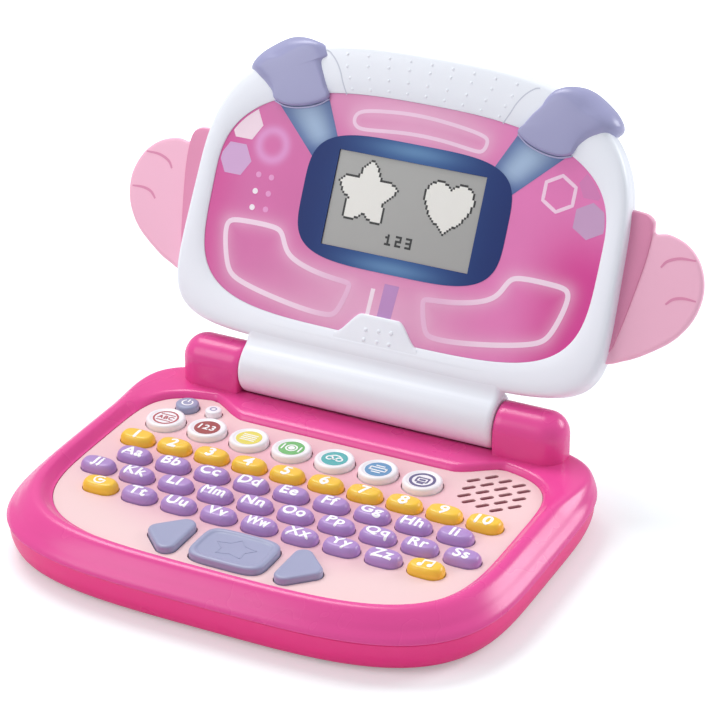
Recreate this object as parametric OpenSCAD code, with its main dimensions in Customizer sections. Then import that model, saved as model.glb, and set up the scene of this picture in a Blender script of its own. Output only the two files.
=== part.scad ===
// Toy laptop computer: a round-cornered clamshell with a keyboard base and a screen lid.
// +X is to the right, +Y to the back and +Z up. The origin is on the table, at the
// centre of the base. The lid is drawn open, leaning back on its stop.

/* [Base] */
// Width of the base at the seam between its two shells
base_w = 262; // [259:0.2:268]
// Depth of the base at the same seam
base_d = 198.4; // [197:0.2:204]
// Squareness of the base's front corners, where 2 is an ellipse
front_corner = 3.6; // [3.3:0.1:4]
// Squareness of the base's back corners
back_corner = 5.8; // [5:0.1:6.5]
// Height of the rubber feet below the shell
foot_h = 2; // [1:0.1:4]
// Height of the lower shell from its floor to the seam
lower_h = 15.5; // [14.5:0.5:20]
// Height of the key deck's top above the seam
deck_rise = 7; // [6.6:0.2:10]
// Height of the rounded rim's crest above the key deck
rim_rise = 5; // [4:0.1:5.2]
// Height of the flat ledge behind the deck above the key deck
ledge_rise = 3.5; // [2.8:0.1:3.9]
// Wall thickness of the base's shells
wall = 2.4; // [1.8:0.1:2.8]

/* [Key deck] */
// Distance from the base's side to the deck's edge
bezel_side = 19.5; // [18.5:0.1:20]
// Distance from the base's front to the deck's edge
bezel_front = 19.2; // [18:0.2:19.6]
// Distance from the base's back to the deck's middle edge
ledge_d = 45.7; // [45:0.1:47]
// How far the two back lobes of the deck reach behind its middle edge
lobe_rise = 13.4; // [11:0.2:14]
// Thickness of the deck
deck_t = 2.5; // [2:0.1:3]
// Distance from the deck's side to the speaker's centre
speaker_in = 26.1; // [25.5:0.1:28]
// Distance from the deck's middle back edge to the speaker's centre
speaker_front = 10.6; // [9:0.2:12]
// Distance from the deck's side to the power button's centre
power_in = 22.3; // [21:0.1:25]
// Distance from the power button's centre to the volume button's centre
volume_gap = 15.1; // [12.5:0.1:18]

/* [Keys] */
// Space between two letter keys of a row
key_gap = 3.7; // [3.2:0.1:5]
// Space between two rows of keys
row_gap = 4.8; // [4.6:0.1:6]
// Distance from the deck's side to the longest row of letter keys
letter_in = 4.85; // [4.4:0.05:8]
// Distance from the deck's side to the row of number keys
number_in = 8; // [5:0.5:12]
// Height of a key's top above the deck
key_rise = 4.8; // [3.5:0.1:5.6]
// How far a key goes down when it is pressed
key_travel = 1.3; // [0.8:0.1:1.5]
// Space between two round activity buttons
button_gap = 3.8; // [3.4:0.1:6]
// Distance from the deck's side to the first activity button
activity_in = 10.1; // [9:0.1:13]
// Distance from the last activity button to the speaker's centre
activity_end = 24; // [23.4:0.2:28]
// Distance from the activity buttons' centres to the deck's middle back edge
activity_back = 19.1; // [18.8:0.1:22]
// Space between the number keys and the activity buttons
activity_space = 6.7; // [4:0.1:8]
// Height of the activity, arrow, power and volume buttons above the deck
low_rise = 3.6; // [2.5:0.1:4]
// Diameter of the power button
power_dia = 12; // [10:0.2:12.6]
// Diameter of the volume button
volume_dia = 8.4; // [7:0.2:9]
// Width of the large select button
select_w = 39.4; // [34:0.2:42]
// Depth of the large select button
select_d = 28.4; // [24:0.2:29]
// Distance of the arrow buttons from the select button
arrow_x = 35.9; // [34.5:0.1:38]
// Distance of the select button right of the centre line
select_right = 0.6; // [0:0.1:2]
// Space between the last row of keys and the select button
select_space = 5.3; // [4:0.1:7]
// Distance from the deck's front to the select button
select_in = 4; // [3.4:0.1:6]

/* [Hinge] */
// Distance of the hinge axis from the base's back
hinge_in = 15.2; // [14.8:0.1:16]
// Height of the hinge axis above the key deck
hinge_rise = 15.9; // [15.6:0.1:18]
// Radius of the two hinge pods' rounded tops
pod_r = 12.4; // [10:0.1:12.8]
// Distance between the inner faces of the pods
pod_gap = 142; // [130:1:150]
// Distance from the base's side to a pod's outer face
pod_in = 25; // [24:0.2:30]
// Radius of the lid's barrel
barrel_r = 14.2; // [13.6:0.1:14.6]
// Diameter of the hinge pins
pin_dia = 6; // [4:0.2:8]
// How far the open lid leans back from upright
lid_lean = 27.2; // [15:0.2:35]

/* [Lid] */
// Distance from the base's side to the lid's side when shut
lid_in = 13.7; // [13.4:0.1:16]
// Distance from the hinge axis to the screen's centre
screen_up = 91.8; // [91:0.2:93]
// Height of the lid's outline above the screen's centre
lid_top = 79.5; // [77:0.5:80.5]
// Height of the lid's outline below the screen's centre
lid_bottom = 77.8; // [76:0.1:78]
// How far the printed panel stands in front of the hinge axis
panel_h = 8.6; // [8:0.1:9]
// How far the white frame stands in front of the printed panel
frame_proud = 1.8; // [1:0.1:2.2]
// Thickness of the lid behind the hinge axis
lid_back = 7.6; // [6:0.2:9]
// Width of the white frame at the sides
frame_side = 10.5; // [9:0.5:12]
// Width of the white frame at the top
frame_top = 25.5; // [24:0.5:27]
// Width of the white frame at the bottom
frame_bottom = 12.6; // [11.5:0.2:14]
// Width of the screen's window
screen_w = 81; // [70:1:90]
// Height of the screen's window
screen_d = 48.5; // [42:0.5:54]
// Wall thickness of the lid's shells
lid_wall = 1.9; // [1.6:0.1:2.2]

/* [Inside] */
// Diameter of a battery
battery_dia = 14.5; // [10:0.1:14.6]
// Length of a battery
battery_len = 50.5; // [44:0.5:52]
// Outer diameter of the speaker
speaker_dia = 36; // [28:1:37]
// Thickness of the circuit board
board_t = 1.6; // [1:0.1:2]

/* [Hidden] */
LETTERS = "abcdefghijklmnopqrstuvwxyz";
LETTER_KEYS = [for (c = LETTERS) str("key_", c)];
ACTIVITY_BUTTONS = [for (i = [1:7]) str("activity_button_", i)];

// Clearances
fit_gap = 0.2;      // fixed pieces side by side
move_gap = 0.55;    // moving pieces side by side
run_gap = 0.05;     // a pin in its bore, on the radius
outline_n = 96;     // points round an outline
facet = 64;         // $fn of round things

// Levels of the base, upwards from the table
floor_z = foot_h;
seam_z = floor_z + lower_h;
deck_z = seam_z + deck_rise;
deck_under = deck_z - deck_t;
crest_z = deck_z + rim_rise;
ledge_z = deck_z + ledge_rise;
lip_z = deck_z + 0.4;               // the rim's inner lip covers the deck's edge
flange_t = 1.3;                     // flange that keeps a key in its hole
flange_z = deck_under - fit_gap - flange_t;
dome_h = 0.9;                       // rubber dome under each key
sheet_t = 1;                        // rubber sheet that carries the domes
stem_gap = 0.3;                     // between a pressed key's stem and its dome
stem_h = 0.7;                       // stem below a key's flange
sheet_top = flange_z - stem_h - key_travel - stem_gap - dome_h;
board_top = sheet_top - sheet_t;
board_z = board_top - board_t;

// Deck outline
deck_half_w = base_w / 2 - bezel_side;
deck_front = base_d / 2 - bezel_front;
deck_mid = base_d / 2 - ledge_d;
lobe_w = 27.4;                      // a lobe is at its full depth over this width
lobe_fade = 27;                     // and runs out over this one
lobe_outer = deck_half_w - lobe_w;
lobe_inner = lobe_outer - lobe_fade;

// Hinge and lid, with the lid's own frame on the hinge axis
hinge_y = base_d / 2 - hinge_in;
hinge_z = deck_z + hinge_rise;
pod_inner = pod_gap / 2;
pod_outer = base_w / 2 - pod_in;
pod_soft = 9;                       // rounding of a pod's outer edges
pin_r = pin_dia / 2;
barrel_half = pod_inner - 0.6;
barrel_end = 8;                     // thickness of the barrel's end walls
bearing_len = 13;                   // tube in a pod that holds the hinge pin
frame_h = panel_h + frame_proud;
panel_t = 1.2;
floor_h = panel_h - panel_t;        // the panel lies on this floor of the frame
floor_t = 1.6;
lid_seam = 1.6;                     // seam between the lid's shells
lid_half_w = base_w / 2 - lid_in;
lid_flare = 0.04;                   // the lid widens downwards
panel_half_w = lid_half_w - frame_side;
panel_top = lid_top - frame_top;
panel_bottom = lid_bottom - frame_bottom;

// Layout of the keys: what the gaps and margins leave of the deck
letter_pitch = (2 * (deck_half_w - letter_in) + key_gap) / 10;
key_w = letter_pitch - key_gap;
number_pitch = (2 * (deck_half_w - number_in) - key_w) / 9;
speaker_x = deck_half_w - speaker_in;
speaker_y = deck_mid - speaker_front;
activity_x = -deck_half_w + activity_in;
activity_pitch = (speaker_x - activity_end - activity_x + button_gap) / 7;
activity_dia = activity_pitch - button_gap;
activity_y = deck_mid - activity_back;
select_y = -deck_front + select_in + select_d / 2;
rows_back = activity_y - activity_dia / 2 - activity_space;
rows_front = select_y + select_d / 2 + select_space;
row_pitch = (rows_back - rows_front + row_gap) / 4;
key_d = row_pitch - row_gap;
number_y = rows_back - key_d / 2;
power_x = -deck_half_w + power_in;
power_y = deck_mid - 1;
volume_x = power_x + volume_gap;

// Screws of the base and of the lid
screw_r = 1.45;
screw_head_r = 3;
screw_head_h = 2.4;
boss_r = 4.2;
screw_seat = floor_z + 7;
screw_top = deck_z - 1.4;
boss_front_x = 60;                  // the two front bosses, and their distance from the front
boss_front_in = 11.4;
boss_side_in = 13.4;                // the two at the sides
boss_corner_in = 19.6;              // the two at the back, from the side and from the back
boss_back_in = 37.2;
BASE_BOSSES = [for (side = [1, -1], b = [
    [boss_front_x, -base_d / 2 + boss_front_in], [base_w / 2 - boss_side_in, 0],
    [base_w / 2 - boss_corner_in, base_d / 2 - boss_back_in]]) [side * b[0], b[1]]];
lid_screw_r = 1.15;
lid_head_r = 2.5;
lid_boss_r = 3.4;
lid_screw_seat = -2.2;
lid_boss_in = 9;                    // bosses behind the panel, from its side
LID_BOSSES = [for (side = [1, -1], b = [
    [panel_half_w - lid_boss_in, -panel_bottom + 15.2], [panel_half_w - lid_boss_in, 8],
    [36, panel_top + 12]]) [side * b[0], b[1]]];

// Board posts stand between the rows of keys and in free corners of the deck
row_gap_y = number_y - row_pitch / 2;
BOARD_POSTS = [
    [60, row_gap_y], [-60, row_gap_y],
    [60, row_gap_y - 2 * row_pitch], [-60, row_gap_y - 2 * row_pitch],
    [deck_half_w - 14, -deck_front + 25], [-deck_half_w + 14, -deck_front + 25],
    [0, deck_mid - 3.5]];
post_r = 1.4;
foot_side_in = 35;                  // feet, from the base's side, front and back
foot_front_in = 29.2;
foot_back_in = 25.2;
FEET = [for (side = [-1, 1], y = [-base_d / 2 + foot_front_in, base_d / 2 - foot_back_in])
    [side * (base_w / 2 - foot_side_in), y]];
foot_r = 6;
foot_sunk = 1;

// Battery compartment, across the back
cell_gap = 0.4;
bay_half_w = battery_len + 6.8;
bay_d = 2 * battery_dia + 3 * cell_gap + 1.6;
bay_y = base_d / 2 - 22.4;
bay_wall = 1.6;
door_t = 2;
cell_end = battery_len + 0.1;       // outer end of the cells
cell_z = floor_z + door_t + 0.25 + battery_dia / 2;
bay_top = cell_z + battery_dia / 2 + 0.3;

// Keys
key_top = deck_z + key_rise;
low_top = deck_z + low_rise;
arrow_r = 5;                        // rounding of an arrow button's corners
ARROW = [[4.8, 9.2], [4.8, -9.2], [-4.6, 0]];

// ---- Functions ----

function sign_of(v) = v < 0 ? -1 : 1;
function blend(a, b, f) = a * (1 - f) + b * f;
function smooth(f) = let (g = min(1, max(0, f))) g * g * (3 - 2 * g);

// One point of a superellipse: half axes a and b, squareness n, at the angle t
function squircle(a, b, n, t) = [
    a * sign_of(cos(t)) * pow(abs(cos(t)), 2 / n),
    b * sign_of(sin(t)) * pow(abs(sin(t)), 2 / n)];

function angles() = [for (i = [0:outline_n - 1]) 360 * (i + 0.5) / outline_n];

function base_point(t, inset = 0) =
    squircle(base_w / 2 - inset, base_d / 2 - inset,
        sin(t) < 0 ? front_corner : back_corner, t);

// The deck's back edge steps down from the two lobes to the ledge between them
function deck_point(t, inset = 0) =
    let (p = squircle(deck_half_w - inset,
            (sin(t) < 0 ? deck_front : deck_mid + lobe_rise + 1) - inset,
            sin(t) < 0 ? front_corner : back_corner, t),
        step = smooth((abs(p[0]) - lobe_inner) / (lobe_outer - lobe_inner)))
    [p[0], min(p[1], deck_mid + lobe_rise * step - inset)];

function lid_point(t, inset = 0) =
    let (p = squircle(lid_half_w - inset, (sin(t) < 0 ? lid_bottom : lid_top) - inset,
            sin(t) < 0 ? 6.5 : 2.9, t))
    [p[0] * (1 - lid_flare * p[1] / lid_half_w), p[1]];

function panel_point(t, inset = 0) =
    squircle(panel_half_w - inset, (sin(t) < 0 ? panel_bottom : panel_top) - inset,
        sin(t) < 0 ? 4.4 : 2.7, t);

// Smooth closed curve through a few points
function through(points, steps) = [
    for (i = [0:len(points) - 1], k = [0:steps - 1])
        let (n = len(points), u = k / steps,
            p0 = points[(i + n - 1) % n], p1 = points[i],
            p2 = points[(i + 1) % n], p3 = points[(i + 2) % n])
        0.5 * (2 * p1 + (p2 - p0) * u + (2 * p0 - 5 * p1 + 4 * p2 - p3) * u * u
            + (3 * p1 - p0 - 3 * p2 + p3) * u * u * u)];

// ---- Building blocks ----

// Closed skin over rings of equal length: round like a tyre, or capped at both ends
module skin(rings, capped) {
    count = len(rings);
    n = len(rings[0]);
    last = capped ? count - 2 : count - 1;
    sides = [
        for (j = [0:last], i = [0:n - 1])
            let (a = j * n + i, b = j * n + (i + 1) % n,
                c = (j + 1) % count * n + (i + 1) % n, d = (j + 1) % count * n + i)
            each [[a, c, b], [a, d, c]]];
    caps = capped ? [
        [for (i = [0:n - 1]) i],
        [for (i = [n - 1:-1:0]) (count - 1) * n + i]] : [];
    polyhedron([for (ring = rings) each ring], concat(sides, caps), convexity = 6);
}

module slab(points, z0, z1) {
    translate([0, 0, z0]) linear_extrude(z1 - z0) polygon(points);
}

module pill(w, d) {
    for (sx = [-1, 1]) translate([sx * (w - d) / 2, 0]) circle(d = d, $fn = facet);
    square([w - d, d], center = true);
}

module round_rect(w, d, r) {
    square([w - 2 * r, d], center = true);
    square([w, d - 2 * r], center = true);
    for (sx = [-1, 1], sy = [-1, 1])
        translate([sx * (w / 2 - r), sy * (d / 2 - r)]) circle(r = r, $fn = facet);
}

// Polygon of three corners, listed clockwise, with rounded corners of radius r
module round_triangle(corners, r) {
    steps = 12;
    polygon([for (i = [0:2], k = [0:steps])
        let (a = corners[(i + 2) % 3], b = corners[i], c = corners[(i + 1) % 3],
            first = atan2(b[0] - a[0], a[1] - b[1]), last = atan2(c[0] - b[0], b[1] - c[1]),
            turn = (first - last + 720) % 360, at = first - turn * k / steps)
        b + r * [cos(at), sin(at)]]);
}

module tube(r_out, r_in, z0, z1) {
    translate([0, 0, z0]) difference() {
        cylinder(h = z1 - z0, r = r_out, $fn = facet);
        translate([0, 0, -1]) cylinder(h = z1 - z0 + 2, r = r_in, $fn = facet);
    }
}

module rod(r, z0, z1) {
    translate([0, 0, z0]) cylinder(h = z1 - z0, r = r, $fn = facet);
}

// Puts a piece drawn in the lid's frame onto the hinge. There X is to the right,
// Y is up the lid from the axis and Z is out of its face.
module on_hinge() {
    translate([0, hinge_y, hinge_z]) rotate([90 - lid_lean, 0, 0]) children();
}

// The same, measured from the screen's centre instead of the axis
module on_lid() {
    on_hinge() translate([0, screen_up, 0]) children();
}

module along_x(x0, x1) {
    translate([x0, 0, 0]) rotate([90, 0, 90]) linear_extrude(x1 - x0) children();
}

// ---- Base ----

function base_ring(inset, z) = [for (t = angles()) let (p = base_point(t, inset)) [p[0], p[1], z]];

function rim_level(f) = blend(seam_z, crest_z, f);
function slope_level(f) = blend(lip_z, crest_z, f);
function ledge_level(f) = blend(seam_z, ledge_z, f);

// Rim section: how far from the seam's outline to the deck's, and the height.
// The first list is for the front and sides, the second for the back.
RIM = [
    [0, seam_z], [0, seam_z + 0.8], [0.06, rim_level(0.22)], [0.18, rim_level(0.41)],
    [0.28, rim_level(0.6)], [0.38, rim_level(0.76)], [0.48, rim_level(0.9)],
    [0.57, rim_level(0.98)], [0.66, crest_z], [0.74, crest_z - 0.4], [0.81, slope_level(0.67)],
    [0.88, slope_level(0.36)], [0.94, slope_level(0.12)], [1, lip_z],
    [1, deck_under + 0.3], [0.9, deck_under + 0.3],
    [0.8, slope_level(0.5) - wall], [0.64, crest_z - wall], [0.5, rim_level(0.76) - wall * 0.5],
    [0.34, rim_level(0.5) - wall * 0.5], [wall / bezel_side + 0.06, seam_z + 2.6],
    [wall / bezel_side, seam_z + 0.8], [wall / bezel_side, seam_z]];
LEDGE = [
    [0, seam_z], [0, seam_z + 1.5], [0.01, ledge_level(0.35)], [0.03, ledge_level(0.58)],
    [0.06, ledge_level(0.78)], [0.1, ledge_level(0.91)], [0.16, ledge_level(0.98)],
    [0.25, ledge_z], [0.4, ledge_z], [0.6, ledge_z], [0.8, ledge_z],
    [0.9, ledge_z - 0.1], [0.96, ledge_z - 1], [1, lip_z],
    [1, deck_under + 0.3], [0.96, deck_under + 0.3],
    [0.9, ledge_z - wall - 0.4], [0.6, ledge_z - wall], [0.4, ledge_z - wall],
    [0.2, ledge_z - wall - 0.4], [0.1, ledge_z - wall - 2.4],
    [wall / ledge_d, seam_z + 1.5], [wall / ledge_d, seam_z]];

module rim_skin() {
    skin([for (k = [0:len(RIM) - 1])
        [for (t = angles())
            let (outer = base_point(t), inner = deck_point(t),
                back = smooth((outer[1] - 40) / 50),
                f = blend(RIM[k][0], LEDGE[k][0], back),
                z = blend(RIM[k][1], LEDGE[k][1], back))
            [blend(outer[0], inner[0], f), blend(outer[1], inner[1], f), z]]], false);
}

// Plan of a pod: rounded at its front outer corner, and inside the base's outline
module pod_plan(inset) {
    soft = pod_soft - inset;
    x0 = pod_inner + inset;
    x1 = pod_outer - inset;
    y0 = hinge_y - pod_r + inset;
    intersection() {
        polygon([for (t = angles()) base_point(t, 1.6 + inset)]);
        union() {
            translate([x0, y0]) square([x1 - x0 - soft, 3 * pod_r]);
            translate([x0, y0 + soft]) square([x1 - x0, 3 * pod_r]);
            translate([x1 - soft, y0 + soft]) circle(r = soft, $fn = facet);
        }
    }
}

// Pod that stands on the base and carries a hinge pin, grown inwards by inset
module pod_body(inset) {
    r = pod_r - inset;
    arc_z = hinge_z - 1.4;
    soft = pod_soft + 2 - inset;
    bottom = seam_z + 1;
    x0 = pod_inner + inset;
    x1 = pod_outer - inset;
    intersection() {
        along_x(x0, x1) {
            translate([hinge_y, arc_z]) circle(r = r, $fn = facet);
            translate([hinge_y - r, bottom]) square([2 * r, arc_z - bottom]);
        }
        translate([0, hinge_y + 2 * pod_r, 0]) rotate([90, 0, 0]) linear_extrude(4 * pod_r) {
            translate([x0, bottom]) square([x1 - x0 - soft, arc_z + r - bottom]);
            translate([x0, bottom]) square([x1 - x0, arc_z + r - soft - bottom]);
            translate([x1 - soft, arc_z + r - soft]) circle(r = soft, $fn = facet);
        }
        linear_extrude(2 * hinge_z) pod_plan(inset);
    }
}

module upper_shell() {
    ledge_under = ledge_z - 5.4;
    trough_lip = 3;
    trough_back = hinge_in - 5;
    color("#ef5aa2") difference() {
        union() {
            rim_skin();
            for (side = [0, 1]) mirror([side, 0, 0]) {
                difference() {
                    pod_body(0);
                    pod_body(wall);
                    linear_extrude(seam_z + 4) intersection() {
                        pod_plan(wall);
                        translate([0, hinge_y]) square([3 * pod_outer, 2 * (pod_r - wall)], center = true);
                    }
                }
                translate([pod_inner, hinge_y, hinge_z]) rotate([0, 90, 0])
                    cylinder(h = bearing_len, r = pin_r + 2.4, $fn = facet);
            }
            // Floor of the trough that the lid's barrel turns in
            translate([-pod_inner - 1, hinge_y - barrel_r - trough_lip, ledge_under])
                cube([2 * pod_inner + 2, barrel_r + trough_lip + trough_back,
                    ledge_z - ledge_under - fit_gap]);
            for (b = BASE_BOSSES) translate(b)
                rod(boss_r - 0.6, seam_z, (b[1] > 50 ? ledge_z : crest_z) - wall / 2);
        }
        translate([-pod_inner, hinge_y, hinge_z]) rotate([0, 90, 0])
            cylinder(h = 2 * pod_inner, r = barrel_r + 0.6, $fn = facet);
        translate([-pod_inner, hinge_y - barrel_r - 4, ledge_z])
            cube([2 * pod_inner, 3 * barrel_r, hinge_z]);
        for (side = [0, 1]) mirror([side, 0, 0])
            translate([pod_inner - 1, hinge_y, hinge_z]) rotate([0, 90, 0])
                cylinder(h = bearing_len, r = pin_r + 0.01, $fn = facet);
        for (b = BASE_BOSSES) translate(b) rod(screw_r + run_gap, seam_z - 1, screw_top + 0.3);
    }
}

module lower_shell() {
    color("#de3f83") difference() {
        union() {
            difference() {
                skin([
                    base_ring(6.5, floor_z), base_ring(4.2, floor_z + 0.8),
                    base_ring(2.6, floor_z + 3.2), base_ring(1.2, floor_z + 8),
                    base_ring(0.6, seam_z), base_ring(0.6 + wall, seam_z),
                    base_ring(1.2 + wall, floor_z + 8), base_ring(3 + wall, floor_z + 4),
                    base_ring(6 + wall, floor_z + wall)], true);
                translate([-bay_half_w, bay_y - bay_d / 2, floor_z - 1])
                    cube([2 * bay_half_w, bay_d, wall + 2]);
            }
            difference() {
                translate([-bay_half_w - bay_wall, bay_y - bay_d / 2 - bay_wall, floor_z])
                    cube([2 * (bay_half_w + bay_wall), bay_d + 2 * bay_wall,
                        bay_top + bay_wall - floor_z]);
                translate([-bay_half_w, bay_y - bay_d / 2, floor_z - 1])
                    cube([2 * bay_half_w, bay_d, bay_top - floor_z + 1]);
            }
            for (b = BASE_BOSSES) translate(b) rod(boss_r, floor_z + 0.4, seam_z);
            for (p = BOARD_POSTS) translate(p) rod(3, floor_z + 1, board_z);
        }
        for (b = BASE_BOSSES) translate(b) {
            rod(screw_r + 0.25, floor_z - 1, seam_z + 1);
            rod(screw_head_r + 0.3, floor_z - 1, screw_seat);
        }
        for (f = FEET) translate(f) rod(foot_r + fit_gap, floor_z - 1, floor_z + foot_sunk);
    }
}

module rubber_feet() {
    color("#3c3c40") for (f = FEET) translate(f) rod(foot_r, 0, floor_z + foot_sunk);
}

module base_screws() {
    color("#b9bcc2") for (b = BASE_BOSSES) translate(b) {
        rod(screw_r, screw_seat - 0.5, screw_top);
        rod(screw_head_r, screw_seat - screw_head_h, screw_seat);
    }
}

module battery_door() {
    w = 2 * bay_half_w - 2 * fit_gap;
    d = bay_d - 2 * fit_gap;
    color("#de3f83") translate([0, bay_y, floor_z]) linear_extrude(door_t)
        square([w, d], center = true);
}

// Two rows of two cells, end to end
module batteries() {
    color("#5a7f4c") for (sx = [-1, 1], sy = [-1, 1])
        translate([sx < 0 ? -cell_end : cell_end - battery_len,
            bay_y + sy * (battery_dia + cell_gap) / 2, cell_z]) rotate([0, 90, 0]) {
            cylinder(h = battery_len - 0.8, d = battery_dia, $fn = facet);
            cylinder(h = battery_len, d = 5.5, $fn = facet);
        }
}

module battery_contacts() {
    plate_t = 0.4;
    plate_h = battery_dia - 2;
    plate_x = bay_half_w - 0.05 - plate_t;
    color("#c9c9c4") for (side = [0, 1], sy = [-1, 1]) mirror([side, 0, 0])
        translate([plate_x, bay_y + sy * (battery_dia + cell_gap) / 2, cell_z]) {
            translate([0, -plate_h / 2, -plate_h / 2]) cube([plate_t, plate_h, plate_h]);
            rotate([0, -90, 0]) cylinder(h = plate_x - cell_end - 0.05, r = 3, $fn = facet);
        }
}

// The board ends in front of the battery bay, with a bay of its own for the speaker
board_side_in = 8;
board_front_in = 9;
module board_outline(inset) {
    difference() {
        translate([-deck_half_w + board_side_in + inset, -deck_front + board_front_in + inset])
            square([2 * (deck_half_w - board_side_in - inset),
                deck_front - board_front_in + bay_y - bay_d / 2 - bay_wall - 1 - 2 * inset]);
        translate([speaker_x, speaker_y]) circle(d = speaker_dia + 2 + 2 * inset, $fn = facet);
        translate([speaker_x - inset, speaker_y - inset]) square(deck_half_w);
    }
}

module main_board() {
    color("#2f6d4a") translate([0, 0, board_z]) linear_extrude(board_t) board_outline(0);
}

// Rubber sheet: a dome under each key, and a hole round each post of the deck
module dome_sheet() {
    color("#d8d8d2") difference() {
        union() {
            translate([0, 0, board_top]) linear_extrude(sheet_t) board_outline(1);
            for (p = KEY_SPOTS) translate(p) rod(2.2, board_top, sheet_top + dome_h);
        }
        for (p = BOARD_POSTS) translate(p) rod(post_r + fit_gap, board_top - 1, sheet_top + 1);
    }
}

speaker_rim = 5;
speaker_h = 9;
module speaker() {
    r = speaker_dia / 2;
    color("#4b4b50") translate([speaker_x, speaker_y, 0]) {
        tube(r, r - speaker_rim, deck_under - 1.8, deck_under);
        rod(r - speaker_rim + 1, deck_under - 3, deck_under - 1.2);
        rod(r * 0.62, deck_under - speaker_h, deck_under - 2.5);
    }
}

// ---- Key deck ----

function row_y(row) = number_y - row_pitch * row;
function number_spot(i) = [(i - 4.5) * number_pitch, row_y(0)];
function activity_spot(i) = [activity_x + activity_dia / 2 + i * activity_pitch, activity_y];
// a to i, then j to s, then t to z between the function key and the music key
function letter_spot(i) =
    i < 9 ? [(i - 4) * letter_pitch, row_y(1)]
    : i < 19 ? [(i - 13.5) * letter_pitch, row_y(2)]
    : [(i - 22) * letter_pitch, row_y(3)];
function_spot = [-4 * letter_pitch, row_y(3)];
music_spot = [4 * letter_pitch, row_y(3)];

NUMBER_SPOTS = [for (i = [0:9]) number_spot(i)];
LETTER_SPOTS = [for (i = [0:25]) letter_spot(i)];
ACTIVITY_SPOTS = [for (i = [0:6]) activity_spot(i)];
PILL_SPOTS = concat(NUMBER_SPOTS, LETTER_SPOTS, [function_spot, music_spot]);
KEY_SPOTS = concat(PILL_SPOTS, ACTIVITY_SPOTS, [
    [select_right - arrow_x, select_y], [select_right, select_y],
    [select_right + arrow_x, select_y],
    [power_x, power_y], [volume_x, power_y]]);

module select_outline(gap) {
    translate([select_right, select_y]) polygon([for (t = [0:7.5:359])
        squircle(select_w / 2 + gap, select_d / 2 + gap, 4.6, t)]);
}

module arrow_outline(side, gap) {
    translate([select_right + side * arrow_x, select_y]) mirror([side > 0 ? 1 : 0, 0])
        round_triangle(ARROW, arrow_r + gap);
}

// Outlines of every key's hole, grown by gap
module key_holes(gap) {
    for (p = PILL_SPOTS) translate(p) pill(key_w + 2 * gap, key_d + 2 * gap);
    for (p = ACTIVITY_SPOTS) translate(p) circle(d = activity_dia + 2 * gap, $fn = facet);
    translate([power_x, power_y]) circle(d = power_dia + 2 * gap, $fn = facet);
    translate([volume_x, power_y]) circle(d = volume_dia + 2 * gap, $fn = facet);
    select_outline(gap);
    for (side = [-1, 1]) arrow_outline(side, gap);
}

// Six rows of slots at 45 degrees, in a diamond
module speaker_slots() {
    slot_w = 2.7;
    slot_len = 7.2;
    pitch = 9.45;
    row = 6.05;
    translate([speaker_x, speaker_y]) rotate(45)
        for (j = [0:5])
            let (count = [2, 3, 4, 4, 3, 2][j])
            for (i = [0:count - 1])
                translate([(i - (count - 1) / 2) * pitch, (2.5 - j) * row])
                    pill(slot_len, slot_w);
}

module key_deck() {
    ledge = 2;
    color("#f9d5d3") {
        translate([0, 0, deck_under]) linear_extrude(deck_t) difference() {
            polygon([for (t = angles()) deck_point(t, fit_gap)]);
            key_holes(move_gap);
            speaker_slots();
        }
        // Edge that the rim's lip presses on
        translate([0, 0, deck_under - 1.4]) linear_extrude(1.6) difference() {
            polygon([for (t = angles()) deck_point(t, -1.2)]);
            polygon([for (t = angles()) deck_point(t, ledge)]);
        }
        for (p = BOARD_POSTS) translate(p) rod(post_r, board_top, deck_under + 0.5);
    }
}

// ---- Keys ----

// A key is its cap through the deck, a flange below it and a stem over its dome
module pill_key(spot) {
    translate(spot) {
        translate([0, 0, flange_z]) linear_extrude(flange_t) pill(key_w + 1.6, key_d + 1.6);
        translate([0, 0, flange_z]) linear_extrude(key_top - flange_z - 1.4) pill(key_w, key_d);
        translate([0, 0, key_top - 2]) linear_extrude(2) pill(key_w - 2, key_d - 2);
        rod(2, flange_z - stem_h, flange_z + 1);
    }
}

module round_button(spot, dia, top) {
    translate(spot) {
        rod(dia / 2 + 0.9, flange_z, flange_z + flange_t);
        rod(dia / 2, flange_z, top - 1);
        rod(dia / 2 - 1, flange_z, top);
        rod(2, flange_z - stem_h, flange_z + 1);
    }
}

module number_keys() {
    color("#f9be32") for (p = NUMBER_SPOTS) pill_key(p);
}

module function_key() {
    color("#f9be32") pill_key(function_spot);
}

module music_key() {
    color("#f9be32") pill_key(music_spot);
}

module letter_key(i) {
    color("#b48ad0") pill_key(LETTER_SPOTS[i]);
}

module activity_button(i) {
    color("#fbf8fa") round_button(ACTIVITY_SPOTS[i], activity_dia, low_top);
}

module power_button() {
    color("#a3a3c3") round_button([power_x, power_y], power_dia, low_top);
}

module volume_button() {
    color("#f3f1f6") round_button([volume_x, power_y], volume_dia, low_top - 0.2);
}

module arrow_button(side) {
    color("#a3a3c3") {
        translate([0, 0, flange_z]) linear_extrude(flange_t) arrow_outline(side, 0.9);
        translate([0, 0, flange_z]) linear_extrude(low_top - flange_z) arrow_outline(side, 0);
        translate([select_right + side * arrow_x, select_y])
            rod(2, flange_z - stem_h, flange_z + 1);
    }
}

module select_button() {
    color("#a3a3c3") {
        translate([0, 0, flange_z]) linear_extrude(flange_t) select_outline(0.9);
        translate([0, 0, flange_z]) linear_extrude(low_top - flange_z) select_outline(0);
        translate([select_right, select_y]) rod(2, flange_z - stem_h, flange_z + 1);
    }
}

// ---- Hinge pins ----

module hinge_pins() {
    color("#c4c6cc") for (side = [0, 1]) mirror([side, 0, 0])
        translate([barrel_half - barrel_end + 1, hinge_y, hinge_z]) rotate([0, 90, 0])
            cylinder(h = pod_inner + bearing_len - 2 - (barrel_half - barrel_end + 1),
                r = pin_r, $fn = facet);
}

// ---- Lid ----

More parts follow.
